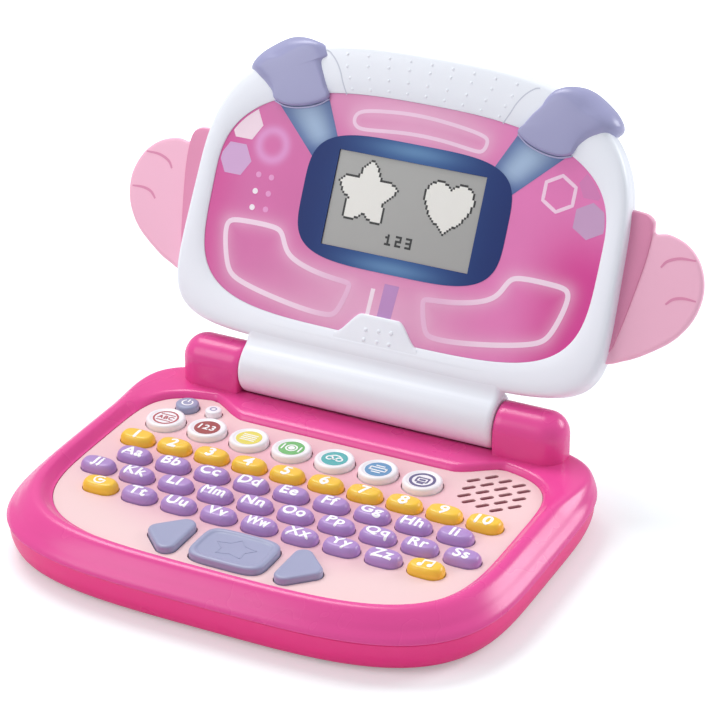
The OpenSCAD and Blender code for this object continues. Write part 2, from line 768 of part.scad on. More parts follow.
// Frame section: how far from the lid's outline to the panel's, and the height
FRAME = [
    [0, lid_seam], [0, frame_h - 5], [0.03, frame_h - 2.4], [0.12, frame_h - 0.7],
    [0.28, frame_h - 0.05], [0.5, frame_h], [0.75, frame_h - 0.3],
    [0.93, frame_h - 0.9], [1, frame_h - 1.4],
    [1, floor_h - floor_t], [0.88, floor_h - floor_t], [0.7, frame_h - 2.4],
    [0.45, frame_h - 2.1], [0.26, frame_h - 2.4], [0.2, frame_h - 4],
    [lid_wall / frame_side, frame_h - 6], [lid_wall / frame_side, lid_seam]];

// White bump at the bottom of the panel
bump_w = 36;
bump_d = 11.3;
function bump(gap) = concat(
    [for (k = [-8:8]) let (u = k / 8)
        [u * (bump_w / 2 + gap), -panel_bottom + bump_d * (1 - pow(abs(u), 3)) + gap]],
    [[bump_w / 2 + gap, -panel_bottom - 1], [-bump_w / 2 - gap, -panel_bottom - 1]]);

// Corner cap, from the lid's side and top. Its root follows the panel's edge.
EAR = [for (p = [
    [63.3, 30], [59.3, 22.5], [57, 15], [58, 8.5], [53.3, 4.3], [45.8, 2.9], [37.3, 3.9],
    [27.3, 7.9], [19.3, 13.7], [15.7, 20.1], [19.8, 25.2], [27.3, 28.7], [32.8, 32.1], [36.7, 37.5]])
    [lid_half_w - p[0], lid_top - p[1]]];
ear_low = 3;                        // floor of the notch that the cap sits in
ear_centre = [lid_half_w - 40.3, lid_top - 20.5];
// Sections of the cap: how large, and how far in front of the hinge axis
EAR_RINGS = [[0.93, -4.4], [0.98, -2.6], [1, 0], [0.985, 4.4], [0.955, 7.6],
    [0.91, frame_h - 0.6], [0.84, frame_h + 0.7], [0.74, frame_h + 1.2]];

function ear_outline(size = 1) = [for (p = through(EAR, 5)) ear_centre + (p - ear_centre) * size];

// Mitten-shaped flap with a small thumb above, from the lid's side outwards
FLAP = [for (p = [
    [-5.3, 20], [3.7, 22.4], [9.7, 19.6], [11.5, 13.6], [18.7, 14.2], [28.7, 10.8],
    [36.7, 3], [40.9, -9], [39.3, -22], [32.7, -33.4], [22.7, -42], [9.7, -49.6],
    [-3.3, -52], [-11.3, -30], [-11.3, 0]]) [lid_half_w + p[0], p[1]]];
flap_low = -1.5;
flap_high = 2.5;
flap_tab_top = 2;
flap_tab_bottom = -30;
flap_tab_in = 4;
flap_tab_w = 8;

module lid_front_frame() {
    color("#e8ebf7") {
        difference() {
            union() {
                on_lid() {
                    skin([for (k = [0:len(FRAME) - 1])
                        [for (t = angles())
                            let (outer = lid_point(t), inner = panel_point(t))
                            [blend(outer[0], inner[0], FRAME[k][0]),
                                blend(outer[1], inner[1], FRAME[k][0]), FRAME[k][1]]]], false);
                    slab([for (t = angles()) panel_point(t, -0.4)], floor_h - floor_t, floor_h);
                    slab(bump(0), floor_h - floor_t, panel_h + 0.8);
                    for (b = LID_BOSSES) translate(b) rod(lid_boss_r, lid_seam,
                        abs(b[0]) > 50 ? floor_h - 0.8 : frame_h - 1.2);
                }
                on_hinge() barrel();
            }
            on_lid() {
                translate([0, 0, -lid_back]) linear_extrude(3 * lid_back)
                    round_rect(screen_w, screen_d, 2);
                for (side = [0, 1]) mirror([side, 0, 0])
                    slab(ear_outline(), ear_low - fit_gap, 2 * frame_h);
                for (b = LID_BOSSES) translate(b)
                    rod(lid_screw_r + run_gap, lid_seam - 1,
                        abs(b[0]) > 50 ? floor_h - 1.2 : floor_h);
            }
            on_hinge() barrel_hollow();
        }
    }
}

// Barrel between the pods, with rounded ends, and the neck that joins it to the frame
module barrel() {
    soft = 3;
    rotate([0, 90, 0]) rotate([0, 0, 90]) rotate_extrude($fn = facet * 2) {
        translate([0, -barrel_half]) square([barrel_r - soft, 2 * barrel_half]);
        translate([0, -barrel_half + soft]) square([barrel_r, 2 * (barrel_half - soft)]);
        for (sz = [-1, 1]) translate([barrel_r - soft, sz * (barrel_half - soft)])
            circle(r = soft, $fn = facet);
    }
    neck_top = screen_up - lid_bottom + 2.6;
    translate([-barrel_half + soft, 2, lid_seam])
        cube([2 * (barrel_half - soft), neck_top - 2, frame_h - 0.4 - lid_seam]);
}

module barrel_hollow() {
    inner = barrel_half - barrel_end;
    rotate([0, 90, 0]) {
        translate([0, 0, -inner]) cylinder(h = 2 * inner, r = barrel_r - 2.6, $fn = facet);
        translate([0, 0, -barrel_half - 1])
            cylinder(h = 2 * barrel_half + 2, r = pin_r + run_gap, $fn = facet);
    }
}

function lid_ring(inset, h) = [for (t = angles()) let (p = lid_point(t, inset)) [p[0], p[1], h]];

module lid_rear_shell() {
    color("#e8ebf7") on_lid() difference() {
        union() {
            skin([
                lid_ring(9, -lid_back), lid_ring(4, -lid_back + 0.6),
                lid_ring(1.2, -lid_back + 2.6), lid_ring(0, -lid_back + 5.6),
                lid_ring(0, lid_seam), lid_ring(lid_wall, lid_seam),
                lid_ring(lid_wall, -lid_back + 6), lid_ring(lid_wall + 1.6, -lid_back + 3.6),
                lid_ring(lid_wall + 4, -lid_back + lid_wall + 0.5),
                lid_ring(lid_wall + 9, -lid_back + lid_wall)], true);
            for (b = LID_BOSSES) translate(b) rod(lid_boss_r, -lid_back + 0.8, lid_seam);
        }
        for (b = LID_BOSSES) translate(b) {
            rod(lid_screw_r + 0.25, -lid_back - 1, lid_seam + 1);
            rod(lid_head_r + 0.3, -lid_back - 1, lid_screw_seat);
        }
        for (side = [-1, 1]) flap_tab(side, fit_gap);
        translate([-barrel_half - fit_gap, -screen_up, 0]) rotate([0, 90, 0])
            cylinder(h = 2 * (barrel_half + fit_gap), r = barrel_r + fit_gap, $fn = 2 * facet);
    }
}

module flap_tab(side, gap) {
    x0 = lid_half_w - flap_tab_in - gap;
    mirror([side < 0 ? 1 : 0, 0, 0])
        translate([x0, flap_tab_bottom - gap, flap_low - gap])
            cube([flap_tab_w + gap, flap_tab_top - flap_tab_bottom + 2 * gap,
                lid_seam - fit_gap - flap_low + 2 * gap]);
}

module side_flaps() {
    color("#f9a9cb") on_lid() for (side = [-1, 1]) {
        translate([0, 0, flap_low]) linear_extrude(flap_high - flap_low) difference() {
            mirror([side < 0 ? 1 : 0, 0]) polygon(through(FLAP, 5));
            polygon([for (t = angles()) lid_point(t, -0.25)]);
        }
        flap_tab(side, 0);
    }
}

module ear_caps() {
    color("#9c98c8") on_lid() for (side = [-1, 1])
        mirror([side < 0 ? 1 : 0, 0, 0]) difference() {
            skin([for (r = EAR_RINGS) [for (p = ear_outline(r[0])) [p[0], p[1], r[1]]]], true);
            slab([for (t = angles()) panel_point(t, -fit_gap)], -lid_back, 2 * frame_h);
            slab([for (t = angles()) lid_point(t, -fit_gap)], -lid_back, ear_low);
        }
}

module screen_panel() {
    color("#e88abf") on_lid() translate([0, 0, floor_h]) linear_extrude(panel_t) difference() {
        polygon([for (t = angles()) panel_point(t, fit_gap)]);
        round_rect(screen_w, screen_d, 2);
        polygon(bump(fit_gap));
    }
}

module lcd_module() {
    glass_t = 2;
    glass_top = floor_h - floor_t - 0.1;
    color("#a9a9a5") on_lid() translate([0, 0, glass_top - glass_t]) linear_extrude(glass_t)
        square([screen_w + 6, screen_d + 6], center = true);
    color("#2f6d4a") on_lid() translate([0, 0, glass_top - glass_t - 1.6]) linear_extrude(1.7)
        square([screen_w + 10, screen_d + 12], center = true);
}

module lid_screws() {
    color("#b9bcc2") on_lid() for (b = LID_BOSSES) translate(b) {
        rod(lid_screw_r, lid_screw_seat - 0.5, floor_h - floor_t - 0.4);
        rod(lid_head_r, lid_screw_seat - 2, lid_screw_seat);
    }
}

// ---- What is drawn ----

lower_shell();
upper_shell();
key_deck();
battery_door();
batteries();
battery_contacts();
main_board();
dome_sheet();
speaker();
base_screws();
rubber_feet();
hinge_pins();
lid_front_frame();
lid_rear_shell();
screen_panel();
lcd_module();
ear_caps();
side_flaps();
lid_screws();
number_keys();
function_key();
music_key();
arrow_button(-1);  // left_button
select_button();
arrow_button(1);  // right_button
power_button();
volume_button();
for (i = [0:6]) activity_button(i);
for (i = [0:25]) letter_key(i);
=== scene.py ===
# Toy laptop computer: the looks of its shells, keys, hinge, lid and screen
import math
import bpy
import bmesh
import numpy as np
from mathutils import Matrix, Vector


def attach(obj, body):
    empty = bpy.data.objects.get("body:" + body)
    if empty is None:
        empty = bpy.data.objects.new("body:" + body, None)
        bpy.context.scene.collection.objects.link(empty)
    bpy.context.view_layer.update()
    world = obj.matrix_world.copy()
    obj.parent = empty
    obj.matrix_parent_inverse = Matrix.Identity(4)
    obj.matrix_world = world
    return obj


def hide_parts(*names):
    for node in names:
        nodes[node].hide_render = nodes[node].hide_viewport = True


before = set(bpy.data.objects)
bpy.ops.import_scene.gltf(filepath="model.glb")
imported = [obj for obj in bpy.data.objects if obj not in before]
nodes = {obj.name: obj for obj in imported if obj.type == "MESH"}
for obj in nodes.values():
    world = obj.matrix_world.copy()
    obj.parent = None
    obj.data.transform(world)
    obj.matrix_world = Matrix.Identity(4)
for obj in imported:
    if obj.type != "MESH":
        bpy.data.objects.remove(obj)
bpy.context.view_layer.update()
print("stage: frame loaded,", len(nodes), "nodes")

# Sizes are in millimetres here and turned to metres when a mesh is made
base = dict(width=262, depth=198.4, frontCorner=3.6, backCorner=5.8, floorZ=2, seamZ=17.5, lipZ=24.9,
            ledgeZ=28, crestZ=29.5)
deck = dict(halfWidth=111.5, front=80, middle=53.5, lobe=13.4, lobeInner=57.1, lobeOuter=84.1)
hinge = dict(y=84, z=40.4, podInner=71, podOuter=106, podRadius=12.4, podSoft=9, barrelHalf=70.4,
             barrelRadius=14.2, barrelSoft=3, troughRadius=14.8)
lid = dict(halfWidth=117.3, top=79.5, bottom=77.8, topCorner=2.9, lowCorner=6.5, flare=0.04, lean=27.2,
           screenUp=91.8, frameH=10.4, panelH=8.6)
panel = dict(halfWidth=106.8, top=54, bottom=65.2, topCorner=2.7, lowCorner=4.4, windowW=81, windowD=48.5)


# Camera, light and floor
def makeCamera():
    view = dict(azimuth=26.38, elevation=27.31, place=(0.5406, -1.0183, 0.6913), lens=137.7)
    cam = bpy.data.objects.new("camera", bpy.data.cameras.new("camera"))
    bpy.context.scene.collection.objects.link(cam)
    cam.data.lens = view["lens"]
    cam.data.sensor_width = 36
    cam.data.clip_end = 20
    cam.location = view["place"]
    cam.rotation_euler = (math.radians(90 - view["elevation"]), 0, math.radians(view["azimuth"]))
    bpy.context.scene.camera = cam


def makeLight(name, place, size, power, colour=(1, 1, 1)):
    aim = Vector((0, 0.03, 0.05))
    lamp = bpy.data.lights.new(name, "AREA")
    lamp.shape = "DISK"
    lamp.size = size
    lamp.energy = power
    lamp.color = colour
    obj = bpy.data.objects.new(name, lamp)
    bpy.context.scene.collection.objects.link(obj)
    obj.location = place
    obj.rotation_euler = (aim - Vector(place)).to_track_quat("-Z", "Y").to_euler()


def toLinear(code):
    parts = [int(code[i:i + 2], 16) / 255 for i in (1, 3, 5)]
    return [c / 12.92 if c <= 0.04045 else ((c + 0.055) / 1.055) ** 2.4 for c in parts]


def addNode(tree, kind, inputs=None, **settings):
    node = tree.nodes.new(kind)
    for key, value in settings.items():
        setattr(node, key, value)
    for key, value in (inputs or {}).items():
        if isinstance(value, bpy.types.NodeSocket):
            tree.links.new(value, node.inputs[key])
        else:
            node.inputs[key].default_value = value
    return node


def newMaterial(name):
    mat = bpy.data.materials.new(name)
    mat.use_nodes = True
    mat.node_tree.nodes.clear()
    place = addNode(mat.node_tree, "ShaderNodeTexCoord").outputs["Object"]
    return mat, mat.node_tree, place


def makeFloor():
    size = dict(half=6, glowNear=0.3, glowFar=0.9, glow=0.28)  # metres, and the least glow
    mat, tree, place = newMaterial("pale floor")
    ray = addNode(tree, "ShaderNodeLightPath")
    paint = addNode(tree, "ShaderNodeBsdfDiffuse", {"Color": (0.86, 0.86, 0.87, 1)})
    cooled = addNode(tree, "ShaderNodeBsdfDiffuse", {"Color": (0.8, 0.87, 0.86, 1)})  # evens pink bounce
    reach = addNode(tree, "ShaderNodeVectorMath", {0: place}, operation="LENGTH").outputs["Value"]
    lift = addNode(tree, "ShaderNodeMapRange", {"Value": reach, "From Min": size["glowNear"],
                                                "From Max": size["glowFar"], "To Min": size["glow"]})
    glow = addNode(tree, "ShaderNodeEmission", {"Color": (1, 1, 1, 1), "Strength": lift.outputs[0]})
    both = addNode(tree, "ShaderNodeAddShader", {0: cooled.outputs[0], 1: glow.outputs[0]})
    pick = addNode(tree, "ShaderNodeMixShader", {0: ray.outputs["Is Camera Ray"], 1: paint.outputs[0],
                                                 2: both.outputs[0]})
    addNode(tree, "ShaderNodeOutputMaterial", {"Surface": pick.outputs[0]})
    mesh = bpy.data.meshes.new("floor")
    corners = [(x * size["half"], y * size["half"], 0) for x, y in ((-1, -1), (1, -1), (1, 1), (-1, 1))]
    mesh.from_pydata(corners, [], [(0, 1, 2, 3)])
    mesh.materials.append(mat)
    floor = bpy.data.objects.new("floor", mesh)
    bpy.context.scene.collection.objects.link(floor)


def makeWorld():
    world = bpy.data.worlds.new("studio")
    bpy.context.scene.world = world
    world.use_nodes = True
    tree = world.node_tree
    tree.nodes.clear()
    ray = addNode(tree, "ShaderNodeLightPath")
    soft = addNode(tree, "ShaderNodeBackground", {"Color": (0.93, 0.95, 1, 1), "Strength": 0.56})
    white = addNode(tree, "ShaderNodeBackground", {"Color": (1, 1, 1, 1), "Strength": 1.0})
    pick = addNode(tree, "ShaderNodeMixShader", {0: ray.outputs["Is Camera Ray"], 1: soft.outputs[0],
                                                 2: white.outputs[0]})
    addNode(tree, "ShaderNodeOutputWorld", {"Surface": pick.outputs[0]})


makeCamera()
makeFloor()
makeWorld()
makeLight("key lamp", (-0.7, 0.45, 1.4), 0.9, 13)
makeLight("fill lamp", (-0.9, -0.95, 1.0), 0.9, 5)
makeLight("side lamp", (0.95, 1.0, 0.6), 0.6, 7, (0.96, 0.98, 1))
bpy.context.scene.view_settings.view_transform = "Standard"
print("stage: camera, lamps and floor")


# Materials. Noise scales are per metre: a pattern's spacing in mm is 1000 divided by its scale
flowScale = 22      # 45 mm: slow shade where the plastic flowed into the mould
sheetScale = 60     # 17 mm: slight unevenness of the print
brushScale = 900    # 1.1 mm: rolled or brushed metal, drawn coarser than it is
printScale = 1800   # 0.6 mm: tooth of the polycarbonate sheet
grainScale = 2600   # 0.4 mm: spark-eroded grain of the mould


def surfaceEnd(tree, grain, strength, depth, inputs):
    relief = addNode(tree, "ShaderNodeBump", {"Height": grain.outputs["Fac"], "Strength": strength,
                                              "Distance": depth})
    skin = addNode(tree, "ShaderNodeBsdfPrincipled", {**inputs, "Normal": relief.outputs[0]})
    addNode(tree, "ShaderNodeOutputMaterial", {"Surface": skin.outputs[0]})


def mouldedPlastic(name, code, roughness=0.34, variation=0.05, bump=0.02):
    mat, tree, place = newMaterial(name)
    cloud = addNode(tree, "ShaderNodeTexNoise", {"Vector": place, "Scale": flowScale, "Detail": 3})
    grain = addNode(tree, "ShaderNodeTexNoise", {"Vector": place, "Scale": grainScale, "Detail": 2})
    colour = toLinear(code)
    dark = [c * (1 - variation) for c in colour]
    tint = addNode(tree, "ShaderNodeMix", {0: cloud.outputs["Fac"], 6: (*dark, 1), 7: (*colour, 1)},
                   data_type="RGBA")
    rough = addNode(tree, "ShaderNodeMapRange", {
        "Value": cloud.outputs["Fac"], "From Min": 0.3, "From Max": 0.7, "To Min": roughness - 0.03,
        "To Max": roughness + 0.04})
    surfaceEnd(tree, grain, bump, 0.0002, {"Base Color": tint.outputs[2], "Roughness": rough.outputs[0],
                                           "IOR": 1.5})
    return mat


def printedSheet(name, roughness):
    # The inks are in the mesh's own attribute, under a smooth clear face
    mat, tree, place = newMaterial(name)
    ink = addNode(tree, "ShaderNodeAttribute", attribute_name="ink")
    cloud = addNode(tree, "ShaderNodeTexNoise", {"Vector": place, "Scale": sheetScale, "Detail": 2})
    dots = addNode(tree, "ShaderNodeTexNoise", {"Vector": place, "Scale": printScale, "Detail": 1})
    tone = addNode(tree, "ShaderNodeMapRange", {"Value": cloud.outputs["Fac"], "To Min": 0.96,
                                                "To Max": 1.04})
    mixed = addNode(tree, "ShaderNodeVectorMath", {0: ink.outputs["Color"], 1: tone.outputs[0]},
                    operation="MULTIPLY")
    rough = addNode(tree, "ShaderNodeMapRange", {"Value": cloud.outputs["Fac"], "To Min": roughness - 0.04,
                                                 "To Max": roughness + 0.04})
    surfaceEnd(tree, dots, 0.015, 0.0002, {"Base Color": mixed.outputs[0], "Roughness": rough.outputs[0],
                                           "IOR": 1.49, "Specular IOR Level": 0.22})
    return mat


def plainMetal(name, code, roughness):
    mat, tree, place = newMaterial(name)
    brush = addNode(tree, "ShaderNodeTexNoise", {"Vector": place, "Scale": brushScale, "Detail": 4})
    rough = addNode(tree, "ShaderNodeMapRange", {"Value": brush.outputs["Fac"], "To Min": roughness - 0.08,
                                                 "To Max": roughness + 0.1})
    surfaceEnd(tree, brush, 0.1, 0.0001, {"Base Color": (*toLinear(code), 1), "Metallic": 1.0,
                                          "Roughness": rough.outputs[0]})
    return mat


def printedDeck(name, edge, middle, inside):
    # Pale at the margins, pinker between the keys
    area = dict(centre=(0.006, 0.002, 0), half=(0.112, 0.062))  # metres
    mat, tree, place = newMaterial(name)
    centred = addNode(tree, "ShaderNodeVectorMath", {0: place, 1: area["centre"]}, operation="ADD")
    scale = (1 / area["half"][0], 1 / area["half"][1], 0)
    scaled = addNode(tree, "ShaderNodeVectorMath", {0: centred.outputs[0], 1: scale}, operation="MULTIPLY")
    reach = addNode(tree, "ShaderNodeVectorMath", {0: scaled.outputs[0]}, operation="LENGTH")
    fade = addNode(tree, "ShaderNodeMapRange", {"Value": reach.outputs["Value"], "From Min": 0.55,
                                                "From Max": 1.15}, interpolation_type="SMOOTHSTEP")
    tint = addNode(tree, "ShaderNodeMix", {0: fade.outputs[0], 6: (*toLinear(middle), 1),
                                           7: (*toLinear(edge), 1)}, data_type="RGBA")
    # Painted shade inside the slots and key holes, which light hardly reaches
    height = addNode(tree, "ShaderNodeSeparateXYZ", {0: place}).outputs["Z"]
    deep = addNode(tree, "ShaderNodeMapRange", {"Value": height, "From Min": 0.0242, "From Max": 0.0236})
    holeShade = addNode(tree, "ShaderNodeMix", {0: deep.outputs[0], 6: tint.outputs[2],
                                           7: (*toLinear(inside), 1)}, data_type="RGBA")
    grain = addNode(tree, "ShaderNodeTexNoise", {"Vector": place, "Scale": grainScale, "Detail": 2})
    rough = addNode(tree, "ShaderNodeMapRange", {"Value": grain.outputs["Fac"], "To Min": 0.38,
                                                 "To Max": 0.46})
    surfaceEnd(tree, grain, 0.02, 0.0002, {"Base Color": holeShade.outputs[2], "Roughness": rough.outputs[0],
                                           "IOR": 1.5})
    return mat


deckAbs = printedDeck("peach printed ABS", "#F3D3D2", "#EDB9C4", "#CC8490")  # satin, the print fades out, and the last colour is painted shade in the holes
pinkAbs = mouldedPlastic("pink ABS", "#F04E9E", 0.26)  # glossy moulded shell with soft broad highlights
deepPinkAbs = mouldedPlastic("deep pink ABS", "#F8318A", 0.3)  # the same gloss in a stronger pink
whiteAbs = mouldedPlastic("bluish white ABS", "#F6F9FF", 0.33, 0.02)  # cool white, even, half glossy
purpleKey = mouldedPlastic("purple moulded key", "#B692CF", 0.28)  # smooth domes with small highlights
yellowKey = mouldedPlastic("yellow moulded key", "#FFCE40", 0.28)  # as smooth as the purple ones
lavenderKey = mouldedPlastic("grey lavender key", "#A2A6C4", 0.36)  # flatter and duller than the letter keys
whiteKey = mouldedPlastic("white moulded key", "#FAF7FA", 0.3, 0.02)  # clean white with a soft shine
lavenderCap = mouldedPlastic("grey lavender ABS", "#A5A5CB", 0.3)  # smooth corner caps
lavenderHighlight = mouldedPlastic("lavender ABS, lip with painted highlight", "#C3C2E2", 0.3)  # painted highlight: a paler copy of the cap's plastic for the thin edge that catches the light
softPinkFlap = mouldedPlastic("soft pink ABS", "#FFC0D8", 0.4)  # pale, duller than the shells
softPinkShade = mouldedPlastic("soft pink ABS, shaded side", "#E892B6", 0.42)  # painted shade: a darker copy of the flap's plastic for the edge by the frame and the grooves
seamShade = mouldedPlastic("shaded parting line", "#D3D6E2", 0.5)  # narrow gap in the white frame
whiteInk = mouldedPlastic("white legend ink", "#FFFFFF", 0.45, 0.01, 0.01)  # pad print, duller than the key
sheetInk = printedSheet("back-printed polycarbonate", 0.36)  # inks under a clear sheet with a weak sheen
lcdGrey = mouldedPlastic("grey display glass", "#A8A8A4", 0.22, 0.02, 0)  # the smoothest face of all
lcdDark = mouldedPlastic("dark display segments", "#232323", 0.3, 0.02, 0)  # crisp dark cells
lcdPale = mouldedPlastic("pale display segments", "#EFEEE6", 0.3, 0.02, 0)  # cells that look unlit
greenBoard = mouldedPlastic("green solder mask", "#2B6A46", 0.4)  # semi-matt lacquer
siliconeSheet = mouldedPlastic("milky silicone", "#D6D6CE", 0.55)  # cloudy and dull
speakerPaper = mouldedPlastic("black paper cone", "#2A2A2D", 0.7, bump=0.2)  # fibrous and dull
footRubber = mouldedPlastic("matt rubber", "#333336", 0.8, bump=0.2)  # grainy, hardly any shine
cellWrap = mouldedPlastic("shrink-wrapped cell", "#4F7A43", 0.3)  # tight glossy film
zincSteel = plainMetal("zinc-plated steel", "#B9BCC2", 0.35)  # cool grey, faintly brushed
springSteel = plainMetal("nickel-plated spring steel", "#C9C7C0", 0.3)  # warmer and brighter
print("stage: materials")


# Meshes
def spline(p0, p1, p2, p3, steps):
    rows = [0.5 * (2 * p1 + (p2 - p0) * u + (2 * p0 - 5 * p1 + 4 * p2 - p3) * u * u
                   + (3 * p1 - p0 - 3 * p2 + p3) * u ** 3) for u in np.arange(steps) / steps]
    return np.stack(rows, 1).reshape(-1, p1.shape[1])


def closedCurve(points, steps):
    p = np.array(points, float)
    return spline(np.roll(p, 1, 0), p, np.roll(p, -1, 0), np.roll(p, -2, 0), steps)


def openCurve(points, steps):
    p = np.array(points, float)
    p = np.vstack([2 * p[0] - p[1], p, 2 * p[-1] - p[-2]])
    return np.vstack([spline(p[:-3], p[1:-2], p[2:-1], p[3:], steps), p[-2]])


def smooth(f):
    g = np.clip(f, 0, 1)
    return g * g * (3 - 2 * g)


def squircle(a, b, n, t):
    return np.stack([a * np.sign(np.cos(t)) * np.abs(np.cos(t)) ** (2 / n),
                     b * np.sign(np.sin(t)) * np.abs(np.sin(t)) ** (2 / n)], -1)


def basePoints(t, inset=0):
    n = np.where(np.sin(t) < 0, base["frontCorner"], base["backCorner"])
    return squircle(base["width"] / 2 - inset, base["depth"] / 2 - inset, n, t)


def deckPoints(t, inset=0):
    front = np.sin(t) < 0
    b = np.where(front, deck["front"], deck["middle"] + deck["lobe"] + 1) - inset
    p = squircle(deck["halfWidth"] - inset, b, np.where(front, base["frontCorner"], base["backCorner"]), t)
    step = smooth((np.abs(p[:, 0]) - deck["lobeInner"]) / (deck["lobeOuter"] - deck["lobeInner"]))
    p[:, 1] = np.minimum(p[:, 1], deck["middle"] + deck["lobe"] * step - inset)
    return p


def onPlate(plate, t, inset=0):
    low = np.sin(t) < 0
    return squircle(plate["halfWidth"] - inset, np.where(low, plate["bottom"], plate["top"]) - inset,
                    np.where(low, plate["lowCorner"], plate["topCorner"]), t)


def lidPoints(t, inset=0):
    p = onPlate(lid, t, inset)
    p[:, 0] *= 1 - lid["flare"] * p[:, 1] / lid["halfWidth"]
    return p


def panelPoints(t, inset=0):
    return onPlate(panel, t, inset)


def evenAngles(curve, count, fine=40000):
    t = (np.arange(fine) + 0.5) / fine * 2 * math.pi
    p = curve(t)
    length = np.concatenate([[0], np.cumsum(np.linalg.norm(np.diff(p, axis=0), axis=1))])
    return np.interp((np.arange(count) + 0.5) / count * length[-1], length, t)


def toObject(points):
    # From the lid's own plane, with the screen's centre at 0, to the part's frame
    a = math.radians(90 - lid["lean"])
    p = np.array(points, float)
    up = lid["screenUp"] + p[..., 1]
    return np.stack([p[..., 0], hinge["y"] + up * math.cos(a) - p[..., 2] * math.sin(a),
                     hinge["z"] + up * math.sin(a) + p[..., 2] * math.cos(a)], -1)


def finishMesh(mesh, sharp=35):
    mesh.polygons.foreach_set("use_smooth", [True] * len(mesh.polygons))
    mesh.set_sharp_from_angle(angle=math.radians(sharp))
    mesh.update()


def makePiece(name, verts, faces, material, body, slot, replaced=(), sharp=35, onLid=False, ink=None,
              closed=True):
    points = toObject(verts) if onLid else np.array(verts, float)
    mesh = bpy.data.meshes.new(name)
    mesh.from_pydata((points / 1000).tolist(), [], [tuple(int(i) for i in f) for f in faces])
    mesh.materials.append(material)
    if ink is not None:
        layer = mesh.color_attributes.new("ink", "FLOAT_COLOR", "POINT")
        layer.data.foreach_set("color", np.column_stack([ink, np.ones(len(ink))]).astype(np.float32).ravel())
    if closed:
        work = bmesh.new()
        work.from_mesh(mesh)
        bmesh.ops.recalc_face_normals(work, faces=work.faces)
        work.to_mesh(mesh)
        work.free()
    finishMesh(mesh, sharp)
    obj = bpy.data.objects.new(name, mesh)
    bpy.context.scene.collection.objects.link(obj)
    if body:
        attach(obj, body)
        if replaced:
            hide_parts(*replaced)
    return obj


def lidPiece(name, part, material, slot, replaced=(), **more):
    return makePiece(name, *part, material, "lid", slot, replaced, onLid=True, **more)


def loftFaces(rows, n, ring=False, caps=True):
    faces = []
    for j in range(rows if ring else rows - 1):
        a, b = j * n, (j + 1) % rows * n
        faces += [(a + i, a + (i + 1) % n, b + (i + 1) % n, b + i) for i in range(n)]
    if caps and not ring:
        faces += [tuple(range(n - 1, -1, -1)), tuple(range((rows - 1) * n, rows * n))]
    return faces


def loft(rings, ring=False):
    rings = [np.array(r, float) for r in rings]
    return np.vstack(rings), loftFaces(len(rings), len(rings[0]), ring)


def joinParts(parts):
    verts, faces, start = [], [], 0
    for v, f in parts:
        verts.append(np.array(v, float))
        faces += [tuple(i + start for i in face) for face in f]
        start += len(v)
    return np.vstack(verts), faces


def mirrored(part):
    return part[0] * [-1, 1, 1], [f[::-1] for f in part[1]]


def flat(points, z):
    p = np.array(points, float)
    return np.column_stack([p, np.full(len(p), float(z)) if np.isscalar(z) else z])


def slab(points, z0, z1):
    return loft([flat(points, z0), flat(points, z1)])


def circlePoints(radius, n=48, x=0, y=0):
    t = np.arange(n) / n * 2 * math.pi
    return np.stack([x + radius * np.cos(t), y + radius * np.sin(t)], -1)


def wheel(x, y, z, radius, n):
    # A circle that stands across the x axis
    p = circlePoints(radius, n, y, z)
    return np.column_stack([np.full(n, x), p])


def insetCurve(points, amount):
    p = np.array(points, float)
    d = np.roll(p, -1, 0) - np.roll(p, 1, 0)
    d /= np.maximum(np.linalg.norm(d, axis=1, keepdims=True), 1e-9)
    return p + amount * np.stack([-d[:, 1], d[:, 0]], -1)


def leftOf(line):
    d = np.gradient(line, axis=0)
    d /= np.linalg.norm(d, axis=1, keepdims=True)
    return np.stack([-d[:, 1], d[:, 0]], -1)


def cutPiece(obj, parts, operation="DIFFERENCE"):
    for part in parts:
        tool = makePiece("cutter", *part, whiteKey, None, None)
        cut = obj.modifiers.new("cut", "BOOLEAN")
        cut.operation = operation
        cut.solver = "EXACT"
        cut.object = tool
        depsgraph = bpy.context.evaluated_depsgraph_get()
        made = bpy.data.meshes.new_from_object(obj.evaluated_get(depsgraph))
        obj.modifiers.clear()
        obj.data = made
        bpy.data.objects.remove(tool)
    finishMesh(obj.data, 40)


# Base shells
def riseTo(start, height, points):
    return [[f, start + height * k] for f, k in points]


# Sections from the seam (0) to the deck's edge (1): the front has a round rim, the back a flat ledge
rimProfile = ([[0, 17.5], [0, 18.3]]
              + riseTo(base["seamZ"], 12, ((0.06, 0.22), (0.18, 0.41), (0.28, 0.6), (0.38, 0.76),
                                           (0.48, 0.9), (0.57, 0.98)))
              + [[0.66, 29.5], [0.74, 29.1]]
              + riseTo(base["lipZ"], 4.6, ((0.81, 0.67), (0.88, 0.36), (0.94, 0.12), (1, 0))))
ledgeProfile = ([[0, 17.5], [0, 19]]
                + riseTo(base["seamZ"], 10.5, ((0.01, 0.35), (0.03, 0.58), (0.06, 0.78), (0.1, 0.91),
                                               (0.16, 0.98)))
                + [[0.25, 28], [0.4, 28], [0.6, 28], [0.8, 28], [0.9, 27.9], [0.96, 27], [1, 24.9]])
# The inner faces of both sections, from the deck's edge back to the seam
innerFaces = [([1, 22.3], [1, 22.3]), ([0.9, 22.3], [0.96, 22.3]), ([0.64, 26.6], [0.6, 25.6]),
              ([0.34, 22], [0.2, 25.2]), ([0.13, 18.3], [0.06, 19]), ([0.12, 17.5], [0.053, 17.5])]


